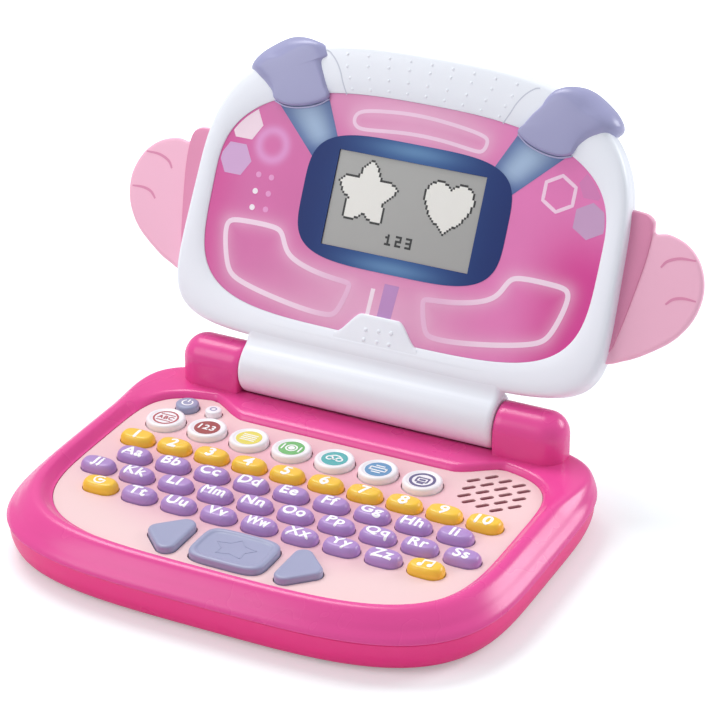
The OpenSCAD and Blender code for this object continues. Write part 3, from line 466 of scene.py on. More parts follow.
def podLoft():
    size = dict(soft=hinge["podSoft"] + 2, foot=18.5, drop=1.4, gap=1.6, sidePoints=9, arcPoints=41)
    x0, x1, soft = hinge["podInner"], hinge["podOuter"], size["soft"]
    stations = [(x0, 0.8), (x0 + 0.2, 0.35), (x0 + 0.8, 0)]
    stations += [(x, 0) for x in np.linspace(x0 + 4, x1 - soft, 8)]
    for a in np.radians(np.linspace(8, 86, 14)):
        stations.append((x1 - soft + soft * math.sin(a), soft * (1 - math.cos(a))))
    arc = np.radians(np.linspace(0, 180, size["arcPoints"]))[1:-1]
    centre, side = hinge["z"] - size["drop"], size["sidePoints"]
    width, depth, n = base["width"] / 2 - size["gap"], base["depth"] / 2 - size["gap"], base["backCorner"]
    rings = []
    for x, e in stations:
        r = hinge["podRadius"] - e
        ys = np.concatenate([[hinge["y"] + r] * side, hinge["y"] + r * np.cos(arc), [hinge["y"] - r] * side])
        zs = np.concatenate([np.linspace(size["foot"], centre, side), centre + r * np.sin(arc),
                             np.linspace(centre, size["foot"], side)])
        edge = depth * (1 - (x / width) ** n) ** (1 / n)  # the back wall that the pod stays inside
        rings.append(np.column_stack([np.full(len(ys), x), np.minimum(ys, edge), zs]))
    return loft(rings)


def makeUpperShell():
    size = dict(around=560, steps=5, blendFrom=40, blendOver=50, troughAbove=24)
    t = evenAngles(basePoints, size["around"])
    outer, inner = basePoints(t), deckPoints(t)
    back = smooth((outer[:, 1] - size["blendFrom"]) / size["blendOver"])
    rim, ledge = openCurve(rimProfile, size["steps"]), openCurve(ledgeProfile, size["steps"])
    rim[:, 1] = np.minimum(rim[:, 1], base["crestZ"])
    ledge[:, 1] = np.minimum(ledge[:, 1], base["ledgeZ"])
    rings = []
    for a, b in list(zip(rim, ledge)) + innerFaces:
        f = a[0] * (1 - back) + b[0] * back
        z = a[1] * (1 - back) + b[1] * back
        rings.append(flat(outer * (1 - f[:, None]) + inner * f[:, None], z))
    for ring in rings[:len(rim)]:  # the trough that the barrel turns in
        near = (np.abs(ring[:, 0]) < hinge["podInner"] + 3) & (ring[:, 2] > size["troughAbove"])
        reach = np.maximum(hinge["troughRadius"] ** 2 - (ring[:, 1] - hinge["y"]) ** 2, 0)
        low = hinge["z"] - np.sqrt(reach)
        ring[:, 2] = np.where(near & (reach > 0), np.minimum(ring[:, 2], low), ring[:, 2])
    pods = [(pod[0] * [side, 1, 1], pod[1]) for pod in [podLoft()] for side in (-1, 1)]
    makePiece("upperShell", *joinParts([loft(rings, ring=True)] + pods), pinkAbs, "base", "pink_shell",
              ["upper_shell"], sharp=40)


def makeLowerShell():
    size = dict(around=560, steps=6, boss=4.2, head=3.3, seat=9, foot=6.2, doorX=57.3, doorFront=60.9,
                doorBack=92.7)
    t = evenAngles(basePoints, size["around"])
    section = openCurve([[6.5, 2], [4.2, 2.8], [2.6, 5.2], [1.2, 10], [0.6, 16.6]], size["steps"])
    section[:, 1] = np.maximum(section[:, 1], base["floorZ"])
    inside = [[0.8, 16.85], [1.5, 16.95], [1.7, 17.2], [1.7, 17.5], [3, 17.5], [3.6, 10], [5.4, 6],
              [8.4, 4.4]]
    rings = [flat(basePoints(t, i), z) for i, z in list(section) + inside]
    shell = makePiece("lowerShell", *loft(rings), deepPinkAbs, "base", "deep_pink_shell", ["lower_shell"],
                      sharp=40)
    screws = [(sx * x, y) for sx in (-1, 1) for x, y in ((60, -87.8), (117.6, 0), (111.4, 62))]
    feet = [(sx * 96, y) for sx in (-1, 1) for y in (-70, 74)]
    bosses = [slab(circlePoints(size["boss"], 32, x, y), 2.5, 17.4) for x, y in screws]
    door = [(sx * size["doorX"], y) for sx, y in ((-1, size["doorFront"]), (1, size["doorFront"]),
                                                  (1, size["doorBack"]), (-1, size["doorBack"]))]
    cuts = [slab(door, 1, 6)] + [slab(circlePoints(size["foot"], 40, x, y), 1, 3) for x, y in feet]
    cuts += [slab(circlePoints(size["head"], 32, x, y), 1, size["seat"]) for x, y in screws]
    cutPiece(shell, [joinParts(bosses)], "UNION")
    cutPiece(shell, cuts)


makeUpperShell()
makeLowerShell()
print("stage: base shells")


# Keys
keys = dict(halfWidth=9, halfDepth=5.7, corner=2.7, letterPitch=21.7, numberPitch=21, rowPitch=16.2,
            numberY=12, printBack=0.7, letterHeight=6.7, numberHeight=7)
# Inset from the outline and height, from the foot below the deck up to the dome
keyProfile = [(-0.8, 20.5), (-0.8, 21.8), (0, 21.8), (0, 25.8), (0.1, 26.6), (0.42, 27.5), (0.95, 28.3),
              (1.3, 28.72), (1.65, 28.95), (2.1, 29.08), (2.8, 29.16), (3.9, 29.24), (5.1, 29.27)]


def rowY(row):
    return keys["numberY"] - keys["rowPitch"] * row


def letterSpot(i):
    # Three rows: 9 letters, 10 letters, and 7 letters between the two yellow keys
    for row, first, count, middle in ((1, 0, 9, 4), (2, 9, 10, 13.5), (3, 19, 7, 22)):
        if first <= i < first + count:
            return (i - middle) * keys["letterPitch"], rowY(row)


def keyHeight(x, y):
    low, high = np.zeros(len(x)), np.full(len(x), keyProfile[-1][0])
    a, b, n = keys["halfWidth"], keys["halfDepth"], keys["corner"]
    for _ in range(20):  # how far in from the key's outline each point lies
        mid = (low + high) / 2
        inside = (np.abs(x) / (a - mid)) ** n + (np.abs(y) / (b - mid)) ** n < 1
        low, high = np.where(inside, mid, low), np.where(inside, high, mid)
    return np.interp(low, [p[0] for p in keyProfile[3:]], [p[1] for p in keyProfile[3:]])


def keyFront(x, y):
    return keyHeight(x, y - keys["printBack"])


def pillKey(x, y):
    t = np.arange(72) / 72 * 2 * math.pi
    return loft([flat(squircle(keys["halfWidth"] - i, keys["halfDepth"] - i, keys["corner"], t) + [x, y], z)
                 for i, z in keyProfile])


def turned(profile, x, y, n=64):
    return loft([flat(circlePoints(r, n, x, y), z) for r, z in profile])


def textMesh(words, height):
    font = dict(capital=0.72, thick=0.12, smoothness=5, spacing=1.1, longest=1)
    curve = bpy.data.curves.new("legend", "FONT")
    curve.body = words
    curve.size = height / font["capital"]
    curve.extrude = font["thick"]
    curve.resolution_u = font["smoothness"]
    curve.space_character = font["spacing"]
    obj = bpy.data.objects.new("legend", curve)
    bpy.context.scene.collection.objects.link(obj)
    depsgraph = bpy.context.evaluated_depsgraph_get()
    mesh = bpy.data.meshes.new_from_object(obj.evaluated_get(depsgraph))
    work = bmesh.new()
    work.from_mesh(mesh)
    bmesh.ops.remove_doubles(work, verts=work.verts, dist=0.001)
    bmesh.ops.triangulate(work, faces=work.faces)
    for _ in range(3):  # short edges, so that the print can follow a domed key
        longEdges = [e for e in work.edges if e.calc_length() > font["longest"]]
        bmesh.ops.subdivide_edges(work, edges=longEdges, cuts=1)
        bmesh.ops.triangulate(work, faces=work.faces)
    verts = np.array([v.co[:] for v in work.verts])
    faces = [[v.index for v in f.verts] for f in work.faces]
    work.free()
    bpy.data.objects.remove(obj)
    return verts, faces


def legend(words, x, y, height, surface, stroke=0.26, widest=11.6, tallest=7.2):
    verts, faces = textMesh(words, height)
    low, high = verts[:, :2].min(0), verts[:, :2].max(0)
    shrink = np.minimum(1, np.array([widest, tallest]) / (high - low))
    verts[:, :2] = (verts[:, :2] - (low + high) / 2) * shrink
    copies = []
    for k, (dx, dy) in enumerate(((-1, 0), (1, 0), (0, -1), (0, 1))):  # a little apart, for a bold stroke
        v = verts + [stroke * dx, stroke * dy, 0.002 * k]
        v[:, 2] += (surface(v[:, 0], v[:, 1]) if callable(surface) else surface) + 0.02
        v[:, :2] += [x, y]
        copies.append((v, faces))
    return joinParts(copies)


for i, letter in enumerate("abcdefghijklmnopqrstuvwxyz"):
    x, y = letterSpot(i)
    node = "key_" + letter
    makePiece("cap_" + letter, *pillKey(x, y), purpleKey, node, "purple_key", [node])
    words = legend(letter.upper() + letter, x, y - keys["printBack"], keys["letterHeight"], keyFront)
    makePiece("legend_" + letter, *words, whiteInk, node, "purple_key", sharp=20)
y = keys["numberY"]
numberX = [(i - 4.5) * keys["numberPitch"] for i in range(10)]
caps = joinParts([pillKey(x, y) for x in numberX])
words = joinParts([legend(str(i + 1), x, y - keys["printBack"], keys["numberHeight"], keyFront, 0.3)
                   for i, x in enumerate(numberX)])
makePiece("number_caps", *caps, yellowKey, "number_keys", "yellow_key", ["number_keys"])
makePiece("number_legends", *words, whiteInk, "number_keys", "yellow_key", sharp=20)


# Printed signs are drawn round the origin, 0.2 mm thick, and set on their key afterwards

signHalf = 0.1


def disc(radius, n=48, x=0, y=0):
    return slab(circlePoints(radius, n, x, y), -signHalf, signHalf)


def hoop(rOut, rIn, x=0, y=0, n=48):
    corners = ((rOut, -signHalf), (rOut, signHalf), (rIn, signHalf), (rIn, -signHalf))
    return loft([flat(circlePoints(r, n, x, y), z) for r, z in corners], ring=True)


def bar(x0, y0, x1, y1, width, z0=-signHalf, z1=signHalf):
    d = np.array([x1 - x0, y1 - y0], float)
    d *= width / 2 / np.linalg.norm(d)
    side = np.array([-d[1], d[0]])
    a, b = np.array([x0, y0]), np.array([x1, y1])
    return slab([a - side, b - side, b + side, a + side], z0, z1)


def bars(width, *lines):
    return [bar(*line, width) for line in lines]


def arcStrip(radius, a0, a1, width, x=0, y=0, n=20):
    a = np.radians(np.linspace(a0, a1, n))
    around = np.stack([np.cos(a), np.sin(a)], -1)
    outer, inner = (radius + width / 2) * around + [x, y], (radius - width / 2) * around + [x, y]
    return slab(np.vstack([outer, inner[::-1]]), -signHalf, signHalf)


def onKey(parts, x, y, lift=0.1):
    verts, faces = joinParts(parts)
    verts[:, 2] += keyHeight(verts[:, 0], verts[:, 1]) + lift
    return verts + [x, y, 0], faces


functionSign = [arcStrip(2.9, 60, 340, 0.9), bar(0.2, 0, 2.9, 0, 0.9), disc(1, 20)]
musicSign = [disc(1.3, 20, -2.6, -2), disc(1.3, 20, 2.2, -1.4),
             *bars(0.8, (-1.7, -2, -1.7, 2.3), (3.1, -1.4, 3.1, 2.9)), bar(-2, 2.2, 3.4, 2.9, 1.3)]
for name, side, sign in (("function", -1, functionSign), ("music", 1, musicSign)):
    x, y, node = 4 * side * keys["letterPitch"], rowY(3), name + "_key"
    makePiece("cap_" + name, *pillKey(x, y), yellowKey, node, "yellow_key", [node])
    makePiece("legend_" + name, *onKey(sign, x, y), whiteInk, node, "yellow_key", sharp=20)
print("stage: letter and number keys")


# Round activity buttons: a white cap with a raised edge round a printed disc
activity = dict(y=34.4, pitch=23.8, left=20, discZ=27.62, sign=6.6, paleLift=0.15)
activityProfile = [(10.9, 20.5), (10.9, 21.8), (10, 21.8), (10, 26.4), (9.88, 27.2), (9.5, 27.75),
                   (8.9, 28.05), (8.3, 28.08), (7.8, 27.9), (7.4, 27.66), (6.9, 27.6), (3, 27.6),
                   (0.5, 27.6)]
signInks = [("red", "#B9525A"), ("brown", "#A34A48"), ("yellow", "#EBDD62"), ("green", "#74BE70"),
            ("teal", "#55B4B4"), ("blue", "#6699C4"), ("plum", "#67608C")]


def drawSigns():
    # For each button, what is printed in its colour and what is left pale on that
    full = disc(activity["sign"])
    words = [hoop(activity["sign"], 5.7), legend("ABC", 0, 0, 3.1, -0.02, 0.08),
             *bars(0.6, (-4, -3, 4, -3), (-4, 3, 4, 3))]
    count = [legend("123", 0, 0, 4.6, -0.03, 0.14)]
    lines = bars(0.7, *[(-4, y, 4, y) for y in (-2.6, -0.9, 0.9, 2.6)])
    target = [hoop(3.2, 2.4), disc(1.7, 32), *bars(0.8, (-4.6, -2.6, -4.6, 2.6), (4.6, -2.6, 4.6, 2.6))]
    loops = [hoop(2.0, 1.2, -2.6, -0.3), hoop(2.0, 1.2, 2.6, -0.3), arcStrip(3.4, 35, 145, 0.8, 0, -0.4),
             bar(-1.2, -1, 1.2, -1, 0.7)]
    page = bars(0.8, (-4.4, -1.4, 4.4, -1.4), (-4.4, 1.2, 4.4, 1.2), (-4.2, -1.4, -4.2, 1.2),
                (4.2, -1.4, 4.2, 1.2), (-2.4, 3, 2.4, 3), (-2.4, -3.2, 2.4, -3.2))
    screen = [hoop(activity["sign"], 5.2), *bars(0.9, (-3, -2, 3, -2), (-3, 2, 3, 2), (-3, -2, -3, 2),
                                                 (3, -2, 3, 2), (-1.8, -3.2, 1.8, -3.2)),
              bar(-1.6, 0, 1.6, 0, 1.4)]
    return [(words, [])] + [([full], pale) for pale in (count, lines, target, loops, page)] + [(screen, [])]


for i, ((coloured, pale), (colour, code)) in enumerate(zip(drawSigns(), signInks)):
    x, y, z = (i - 3) * activity["pitch"] - activity["left"], activity["y"], activity["discZ"]
    count, node = "_%d" % (i + 1), "activity_button_%d" % (i + 1)
    ink = mouldedPlastic(colour + " printed ink", code, 0.42, 0.04)
    makePiece("button" + count, *turned(activityProfile, x, y), whiteKey, node, "white_button", [node])
    for name, parts, mat, high in (("icon", coloured, ink, z),
                                   ("mark", pale, whiteInk, z + activity["paleLift"])):
        if parts:
            verts, faces = joinParts(parts)
            makePiece(name + count, verts + [x, y, high], faces, mat, node, "white_button", sharp=20)

# The two arrows and the large key between them
navigation = dict(y=-61.8, x=0.6, arrowX=35.9, arrowSoft=5, selectW=39.4, selectD=28.4, selectCorner=4.6)
lowProfile = [(-0.9, 20.5), (-0.9, 21.8), (0, 21.8), (0, 26.7), (0.12, 27.3), (0.5, 27.8), (1.1, 28.05),
              (1.8, 28.1)]
starSize = dict(points=5, outer=9.4, inner=5.6, wide=1.15, deep=0.86, line=0.55, z=27.42)


def arrowPoints(radius, steps=16):
    corners = np.array([[4.8, 9.2], [4.8, -9.2], [-4.6, 0]])
    out = []
    for i in range(3):
        a, b, c = corners[i - 1], corners[i], corners[(i + 1) % 3]
        first = math.atan2(b[0] - a[0], a[1] - b[1])
        turn = (first - math.atan2(c[0] - b[0], b[1] - c[1])) % (2 * math.pi)
        angles = first - turn * np.arange(steps + 1) / steps
        out += list(b + radius * np.stack([np.cos(angles), np.sin(angles)], -1))
    return np.array(out)[::-1]


def makeNavigation():
    middle = [navigation["x"], navigation["y"]]
    for side, node in ((-1, "left_button"), (1, "right_button")):
        place = [middle[0] + side * navigation["arrowX"], middle[1]]
        rings = [flat(arrowPoints(navigation["arrowSoft"] - inset) * [-side, 1] + place, z)
                 for inset, z in lowProfile + [(3.2, 28.0), (4.4, 27.95)]]
        makePiece("pad_" + node, *loft(rings), lavenderKey, node, "grey_lavender_key", [node])
    t = np.arange(120) / 120 * 2 * math.pi
    a, b, n = navigation["selectW"] / 2, navigation["selectD"] / 2, navigation["selectCorner"]
    rings = [flat(squircle(a - i, b - i, n, t) + middle, z)
             for i, z in lowProfile + [(2.3, 28.1), (2.9, 27.85), (3.3, 27.5), (4, 27.42), (9, 27.42)]]
    node, slot = "select_button", "grey_lavender_key"
    makePiece("pad_select", *loft(rings), lavenderKey, node, slot, [node])
    star, count = [], 2 * starSize["points"]
    for k in range(count):
        r, a = starSize["inner" if k % 2 else "outer"], math.radians(90 + 360 / count * k)
        star.append((r * starSize["wide"] * math.cos(a), r * starSize["deep"] * math.sin(a)))
    lines = [bar(*p, *q, starSize["line"], -0.25, 0.14) for p, q in zip(star, star[1:] + star[:1])]
    verts, faces = joinParts(lines)
    makePiece("select_star", verts + [*middle, starSize["z"]], faces, lavenderKey, node, slot, sharp=20)


# The two small round buttons at the back left
small = dict(powerX=-89.2, volumeX=-74.1, y=52.5)
powerProfile = [(6.9, 20.5), (6.9, 21.8), (6, 21.8), (6, 26.9), (5.85, 27.5), (5.4, 27.9), (4.8, 28.1),
                (4.2, 28.05), (0.4, 28)]
volumeProfile = [(5.1, 20.5), (5.1, 21.8), (4.2, 21.8), (4.2, 26.8), (4.05, 27.4), (3.7, 27.7), (3.2, 27.85),
                 (2.4, 27.85), (0.3, 27.8)]


def makeSmallButtons():
    for name, profile, pad, slot in (("power", powerProfile, lavenderKey, "grey_lavender_key"),
                                     ("volume", volumeProfile, whiteKey, "white_button")):
        node = name + "_button"
        makePiece("pad_" + name, *turned(profile, small[name + "X"], small["y"]), pad, node, slot, [node])
    powerSign = [arcStrip(2.7, 125, 415, 0.8), bar(0, 0.6, 0, 3.4, 0.8)]
    for name, sign, z, mat, slot in (("power", powerSign, 28.02, whiteInk, "grey_lavender_key"),
                                     ("volume", [hoop(1.9, 1.2)], 27.84, lavenderKey, "white_button")):
        verts, faces = joinParts(sign)
        makePiece(name + "_mark", verts + [small[name + "X"], small["y"], z], faces, mat, name + "_button",
                  slot, sharp=20)


makeNavigation()
makeSmallButtons()
print("stage: buttons")


# Lid
# Sections from the lid's outline (0) to the panel's edge (1), in the lid's own plane
frameProfile = [[0, 1.6], [0, lid["frameH"] - 5]] + riseTo(lid["frameH"], -1, (
    (0.03, 2.4), (0.12, 0.7), (0.28, 0.05), (0.5, 0), (0.75, 0.3), (0.93, 0.9), (1, 1.4)))
frameInside = [[1, 5.8], [0.88, 5.8]] + riseTo(lid["frameH"], -1, (
    (0.7, 2.4), (0.45, 2.1), (0.26, 2.4), (0.2, 4), (0.18, 6))) + [[0.18, 1.6]]


def frameHeight(u, v):
    def edge(plate):
        n = plate["topCorner"]
        return plate["top"] * (1 - (np.abs(u) / plate["halfWidth"]) ** n) ** (1 / n)

    section = openCurve(frameProfile, 5)
    f = np.clip((edge(lid) - v) / (edge(lid) - edge(panel)), 0, 1)
    return np.interp(f, section[:, 0], section[:, 1])


def makeLidFrame():
    size = dict(around=560, steps=5, neckSteps=6, neckFoot=1.6, endAngles=(68, 52, 36, 18, 0))
    t = evenAngles(lidPoints, size["around"])
    outer, inner = lidPoints(t), panelPoints(t)
    section = np.vstack([openCurve(frameProfile, size["steps"]), frameInside])
    parts = [loft([flat(outer * (1 - f) + inner * f, z) for f, z in section], ring=True)]
    # Neck: a soft valley from the barrel up to the face of the frame
    curve = openCurve([[-1, 14.05], [3.5, 13.75], [7, 12.35], [10, 10.6], [13, 9.85], [16.5, 10.1],
                       [19.5, 10.36], [22.5, 10.3]], size["neckSteps"]) - [lid["screenUp"], 0]
    foot = [(curve[-1][0], size["neckFoot"]), (curve[0][0], size["neckFoot"])]
    soft = hinge["barrelSoft"]
    ends = [(hinge["barrelHalf"] - soft + soft * math.sin(a), soft * (1 - math.cos(a)))
            for a in np.radians(size["endAngles"])]
    rows = [[[x, s, z - e] for s, z in curve] + [[x, s, z] for s, z in foot]
            for x, e in [(-a, b) for a, b in ends] + ends[::-1]]
    parts.append(loft(rows))
    lidPiece("lidFrame", joinParts(parts), whiteAbs, "white_shell", ["lid_front_frame"])


def makeBarrel():
    size = dict(core=2, around=96, steps=8)
    half, soft = hinge["barrelHalf"], hinge["barrelSoft"]
    face = hinge["barrelRadius"] - soft
    profile = [(size["core"], -half), (face, -half)]
    for a in np.radians(np.linspace(0, 90, size["steps"])):
        profile.append((face + soft * math.sin(a), -half + soft - soft * math.cos(a)))
    profile += [(r, -x) for r, x in profile[::-1]]
    rings = [wheel(x, hinge["y"], hinge["z"], r, size["around"]) for r, x in profile]
    makePiece("barrel", *loft(rings), whiteAbs, "lid", "white_shell")


def makeBump():
    # Low white mound at the foot of the panel
    size = dict(half=23, depth=11.6, plateau=0.42, across=48, under=5)
    u = np.linspace(-1, 1, size["across"])
    rise = size["depth"] * smooth(1 - np.clip((np.abs(u) - size["plateau"]) / (1 - size["plateau"]), 0, 1))
    line = np.stack([u * size["half"], -panel["bottom"] + rise - 0.6], -1)
    low = np.stack([line[:, 0], np.full(len(line), -panel["bottom"] - size["under"])], -1)
    rows = [flat(np.vstack([np.maximum(line - [0, k], low + [0, 0.01]), low[::-1]]), z)
            for k, z in ((0, 8.2), (0, 9.4), (0.35, 9.85), (0.9, 10.05), (2.2, 10.15))]
    lidPiece("screenBump", loft(rows), whiteAbs, "white_shell")


def tube(line, radius, height, sides=8):
    across = leftOf(line)
    turn = np.arange(sides) * 2 * math.pi / sides
    rings = []
    for k, q in enumerate(line):
        r = radius * (0.4 if k in (0, len(line) - 1) else 1)
        rings.append(flat(q + across[k] * (r * np.cos(turn))[:, None], height + r * np.sin(turn)))
    return loft(rings)


def earCap(outline, tip, pointed):
    size = dict(centre=(77, 59), top=12.2, outerEdge=0.8, innerEdge=9.6, bevel=1.8, panelBevel=1.1,
                panelFoot=8.85)
    p = closedCurve(outline, 8)
    c = np.array(size["centre"])
    away = smooth((p[:, 0] * 0.85 + p[:, 1] * 0.55 - 92) / 26)  # 1 where it wraps round the lid's side
    n = panel["topCorner"]
    overPanel = (np.abs(p[:, 0]) / panel["halfWidth"]) ** n + (p[:, 1] / panel["top"]) ** n < 1.06
    # The rounding round the flat face is widest at the outer end and at the inner tip
    toTip = pointed * np.exp(-(np.linalg.norm(p - np.array(tip), axis=1) / 7.5) ** 2)
    bevel = size["bevel"] + 3.4 * toTip + 1.3 * smooth((p[:, 1] - 62) / 8) + 6.5 * away
    bevel = np.where(overPanel, size["panelBevel"], bevel)
    edge = size["innerEdge"] * (1 - away) + size["outerEdge"] * away - 3.2 * toTip
    inner = c + (p - c) * (1 - bevel / np.linalg.norm(p - c, axis=1))[:, None]
    low = np.where(away > 0.15, -4.0, np.minimum(3.0, edge - 0.5))
    low = np.where(overPanel, size["panelFoot"], low)
    nextUp = np.maximum(low, np.minimum(edge - 0.4, -2.8))
    rings = [flat(c + (p - c) * 0.95, low), flat(c + (p - c) * 0.99, nextUp)]
    for across, rise in ((0, 0), (0.04, 0.2), (0.12, 0.4), (0.28, 0.62), (0.5, 0.8), (0.75, 0.92),
                         (1, 0.975)):
        rings.append(flat(p * (1 - across) + inner * across, edge + (size["top"] - 0.25 - edge) * rise))
    for k, drop in ((0.95, 0.26), (0.8, 0.16), (0.55, 0.06), (0.3, 0.02), (0.1, 0)):
        rings.append(flat(c + (inner - c) * k, size["top"] - drop))
    return loft(rings)


def makeEars():
    # The left cap ends in a point on the handle, the right one runs straight up to its top
    root = [[81.2, 42.6], [75, 40.9], [67, 41.6], [58.5, 44.3], [51.9, 48.6]]
    rightEnd = [[82, 75.7], [90, 71.8], [98, 65.8], [101.6, 59.4], [97.5, 54.3], [90, 50.8], [84.5, 47.4]]
    rightTop = [[54.3, 53.4], [57.4, 58.5], [61, 63.4], [62.6, 67.6], [65.4, 71.6], [69.6, 74.5], [75, 76]]
    leftEnd = [[82, 75.7], [90, 71.4], [97.7, 64.6], [101.3, 57.2], [97.2, 52.4], [90, 49.4], [84.5, 46.7]]
    leftTop = [[54.1, 53.4], [56.5, 58.4], [58.1, 62.6], [58.5, 65.7], [57.4, 68.1], [55, 70.3],
               [58.4, 73.1], [63.2, 75], [69, 76.2], [75, 76.6]]
    right = earCap(rightEnd + root + rightTop, (65.4, 71.6), 0.2)
    left = earCap(leftEnd + root + leftTop, (55, 70.3), 1)
    lidPiece("earCaps", joinParts([right, mirrored(left)]), lavenderCap, "lavender_cap", ["ear_caps"],
             sharp=50)
    # Thin lip where the cap ends on the printed panel, painted paler as its highlight
    line = openCurve([[51.6, 47.9], [57.9, 43.7], [66.6, 40.9], [75, 40.2], [81.9, 42.1]], 12)
    lip = tube(line, 0.45, 9.2)
    lidPiece("earLips", joinParts([lip, mirrored(lip)]), lavenderHighlight, "lavender_cap", sharp=50)


def makeSeams():
    # Parting lines on both sides of the handle, from the panel up to the corner caps
    size = dict(width=0.35, crown=0.05, edge=0.02)
    curve = openCurve([(42.9, 51.6), (45.9, 57.2), (48.3, 62.4), (51.7, 67.3), (56, 71), (58.6, 71.8)], 8)
    side, n = leftOf(curve) * size["width"], len(curve)
    rows = [np.column_stack([q, frameHeight(q[:, 0], q[:, 1]) + size[lift]])
            for q, lift in ((curve - side, "edge"), (curve, "crown"), (curve + side, "edge"))]
    faces = [(k + n, k + n + 1, k + 1, k) for r in range(2) for k in range(r * n, r * n + n - 1)]
    seam = (np.vstack(rows), faces)
    lidPiece("handleSeams", joinParts([mirrored(seam), seam]), seamShade, "white_shell", closed=False)


def makeFlaps():
    size = dict(steps=8, line=0.7, lineLow=2.2, lineHigh=2.62)
    outline = [[112, 20], [121, 22.4], [127, 19.6], [128.8, 13.6], [136, 14.2], [146, 10.8], [154, 3],
               [158.2, -9], [156.6, -22], [150, -33.4], [140, -42], [127, -49.6], [114, -52], [106, -30],
               [106, 0]]
    cuff = [[112, 19.6], [120.5, 21.6], [126, 19.2], [127.8, 13.6], [127.4, 0], [124.6, -20],
            [121.4, -38], [118.4, -47.4], [112, -46], [110, -20], [110, 6]]
    outline, cuff = [closedCurve(points, size["steps"])[::-1] for points in (outline, cuff)]
    flap = loft([flat(insetCurve(outline, i), z) for i, z in
                 ((1.1, -1.5), (0.35, -1.2), (0, -0.5), (0, 1.3), (0.3, 2), (1, 2.45), (2.2, 2.5))])
    # The edge by the frame, painted darker as shade
    edge = loft([flat(insetCurve(cuff, i), z) for i, z in
                 ((0, 1.8), (0, 2.8), (0.25, 3.15), (0.9, 3.35), (2, 3.4))])
    # Dark strips that stand for the shade in the two grooves
    lines = []
    for points in ([(135.3, -2.1), (138.1, 1.5), (144.1, 3.9), (151.9, 4.2)],
                   [(141.4, -19.1), (144.6, -16), (149.5, -14.6), (156.0, -14.8)]):
        g = openCurve(points, size["steps"])
        taper = np.sin(np.linspace(0.15, 1, len(g)) * math.pi * 0.9) ** 0.5
        wide = leftOf(g) * (size["line"] * taper)[:, None]
        lines.append(slab(np.vstack([g + wide, (g - wide)[::-1]]), size["lineLow"], size["lineHigh"]))
    for name, parts, mat, replaced in (("sideFlaps", [flap], softPinkFlap, ["side_flaps"]),
                                       ("flapCuffs", [edge], softPinkShade, ()),
                                       ("flapLines", lines, softPinkShade, ())):
        both = parts + [mirrored(part) for part in parts]
        lidPiece(name, joinParts(both), mat, "soft_pink_flap", replaced)


def makeRearShell():
    size = dict(around=480, steps=6, back=-7.6, screw=2.8, post=3.4, barrelX=70.6, barrelCut=14.4)
    t = evenAngles(lidPoints, size["around"])
    section = openCurve([[9, -7.6], [4, -7.0], [1.2, -5], [0, -2], [0, 1.2]], size["steps"])
    section = np.maximum(section, [0, size["back"]])
    inside = [[0.3, 1.55], [1.9, 1.6], [1.9, -1.6], [3.5, -4], [10.9, -5.7]]
    rings = [flat(lidPoints(t, i), z) for i, z in list(section) + inside]
    rear = lidPiece("rearShell", loft(rings), whiteAbs, "white_shell", ["lid_rear_shell"])
    screws = [(sx * 97.8, v) for sx in (-1, 1) for v in (-50, 8)] + [(36, 66), (-36, 66)]
    posts = joinParts([slab(circlePoints(size["post"], 32, x, y), -6.8, 1.5) for x, y in screws])
    holes = joinParts([slab(circlePoints(size["screw"], 28, x, y), -9, -2.2) for x, y in screws])
    room = loft([wheel(side * size["barrelX"], -lid["screenUp"], 0, size["barrelCut"], 64)
                 for side in (-1, 1)])
    cutPiece(rear, [(toObject(posts[0]), posts[1])], "UNION")
    cutPiece(rear, [(toObject(verts), faces) for verts, faces in (holes, room)])


makeLidFrame()
makeBarrel()
makeBump()
makeEars()
makeSeams()
makeFlaps()
makeRearShell()
print("stage: lid shells")


# Printed panel
def mixInk(a, b, f):
    f = np.clip(f, 0, 1)[:, None]
    return a * (1 - f) + b * f


def inkOf(*codes):
    return [np.array(toLinear(code)) for code in codes]


def outlineDistance(p, line):
    best = np.full(len(p), 1e9)
    for a, b in zip(line, np.roll(line, -1, 0)):
        d = b - a
        s = np.clip(((p - a) @ d) / max(d @ d, 1e-9), 0, 1)
        best = np.minimum(best, np.linalg.norm(p - a - s[:, None] * d, axis=1))
    return best


# Outlines of the two lower fields, which mirror each other, and of the field above the screen
fieldLeft = closedCurve([
    (-94.4, -22.6), (-86.3, -21), (-68.1, -20.8), (-62.6, -23.5), (-58.7, -31.5), (-50.7, -36.3),
    (-36.1, -39.7), (-22.3, -40.7), (-20.4, -42.8), (-24.2, -56), (-29, -58.8), (-42.9, -58.5),
    (-64.4, -55.3), (-79.2, -51.9), (-87.1, -48.4), (-90.8, -41.5), (-93.7, -31.9)], 6)
fieldRight = (fieldLeft * [-1, 1])[::-1]
fieldTop = closedCurve([
    (-36.3, 39.8), (-34.5, 44.3), (-24.3, 46.4), (-3.4, 48.1), (17.8, 46.6), (33.6, 44.2), (36.9, 41.6),
    (35.4, 36.2), (29.9, 35.9), (12.8, 38), (-8.2, 38.2), (-29, 35.9), (-34.2, 36.9)], 6)


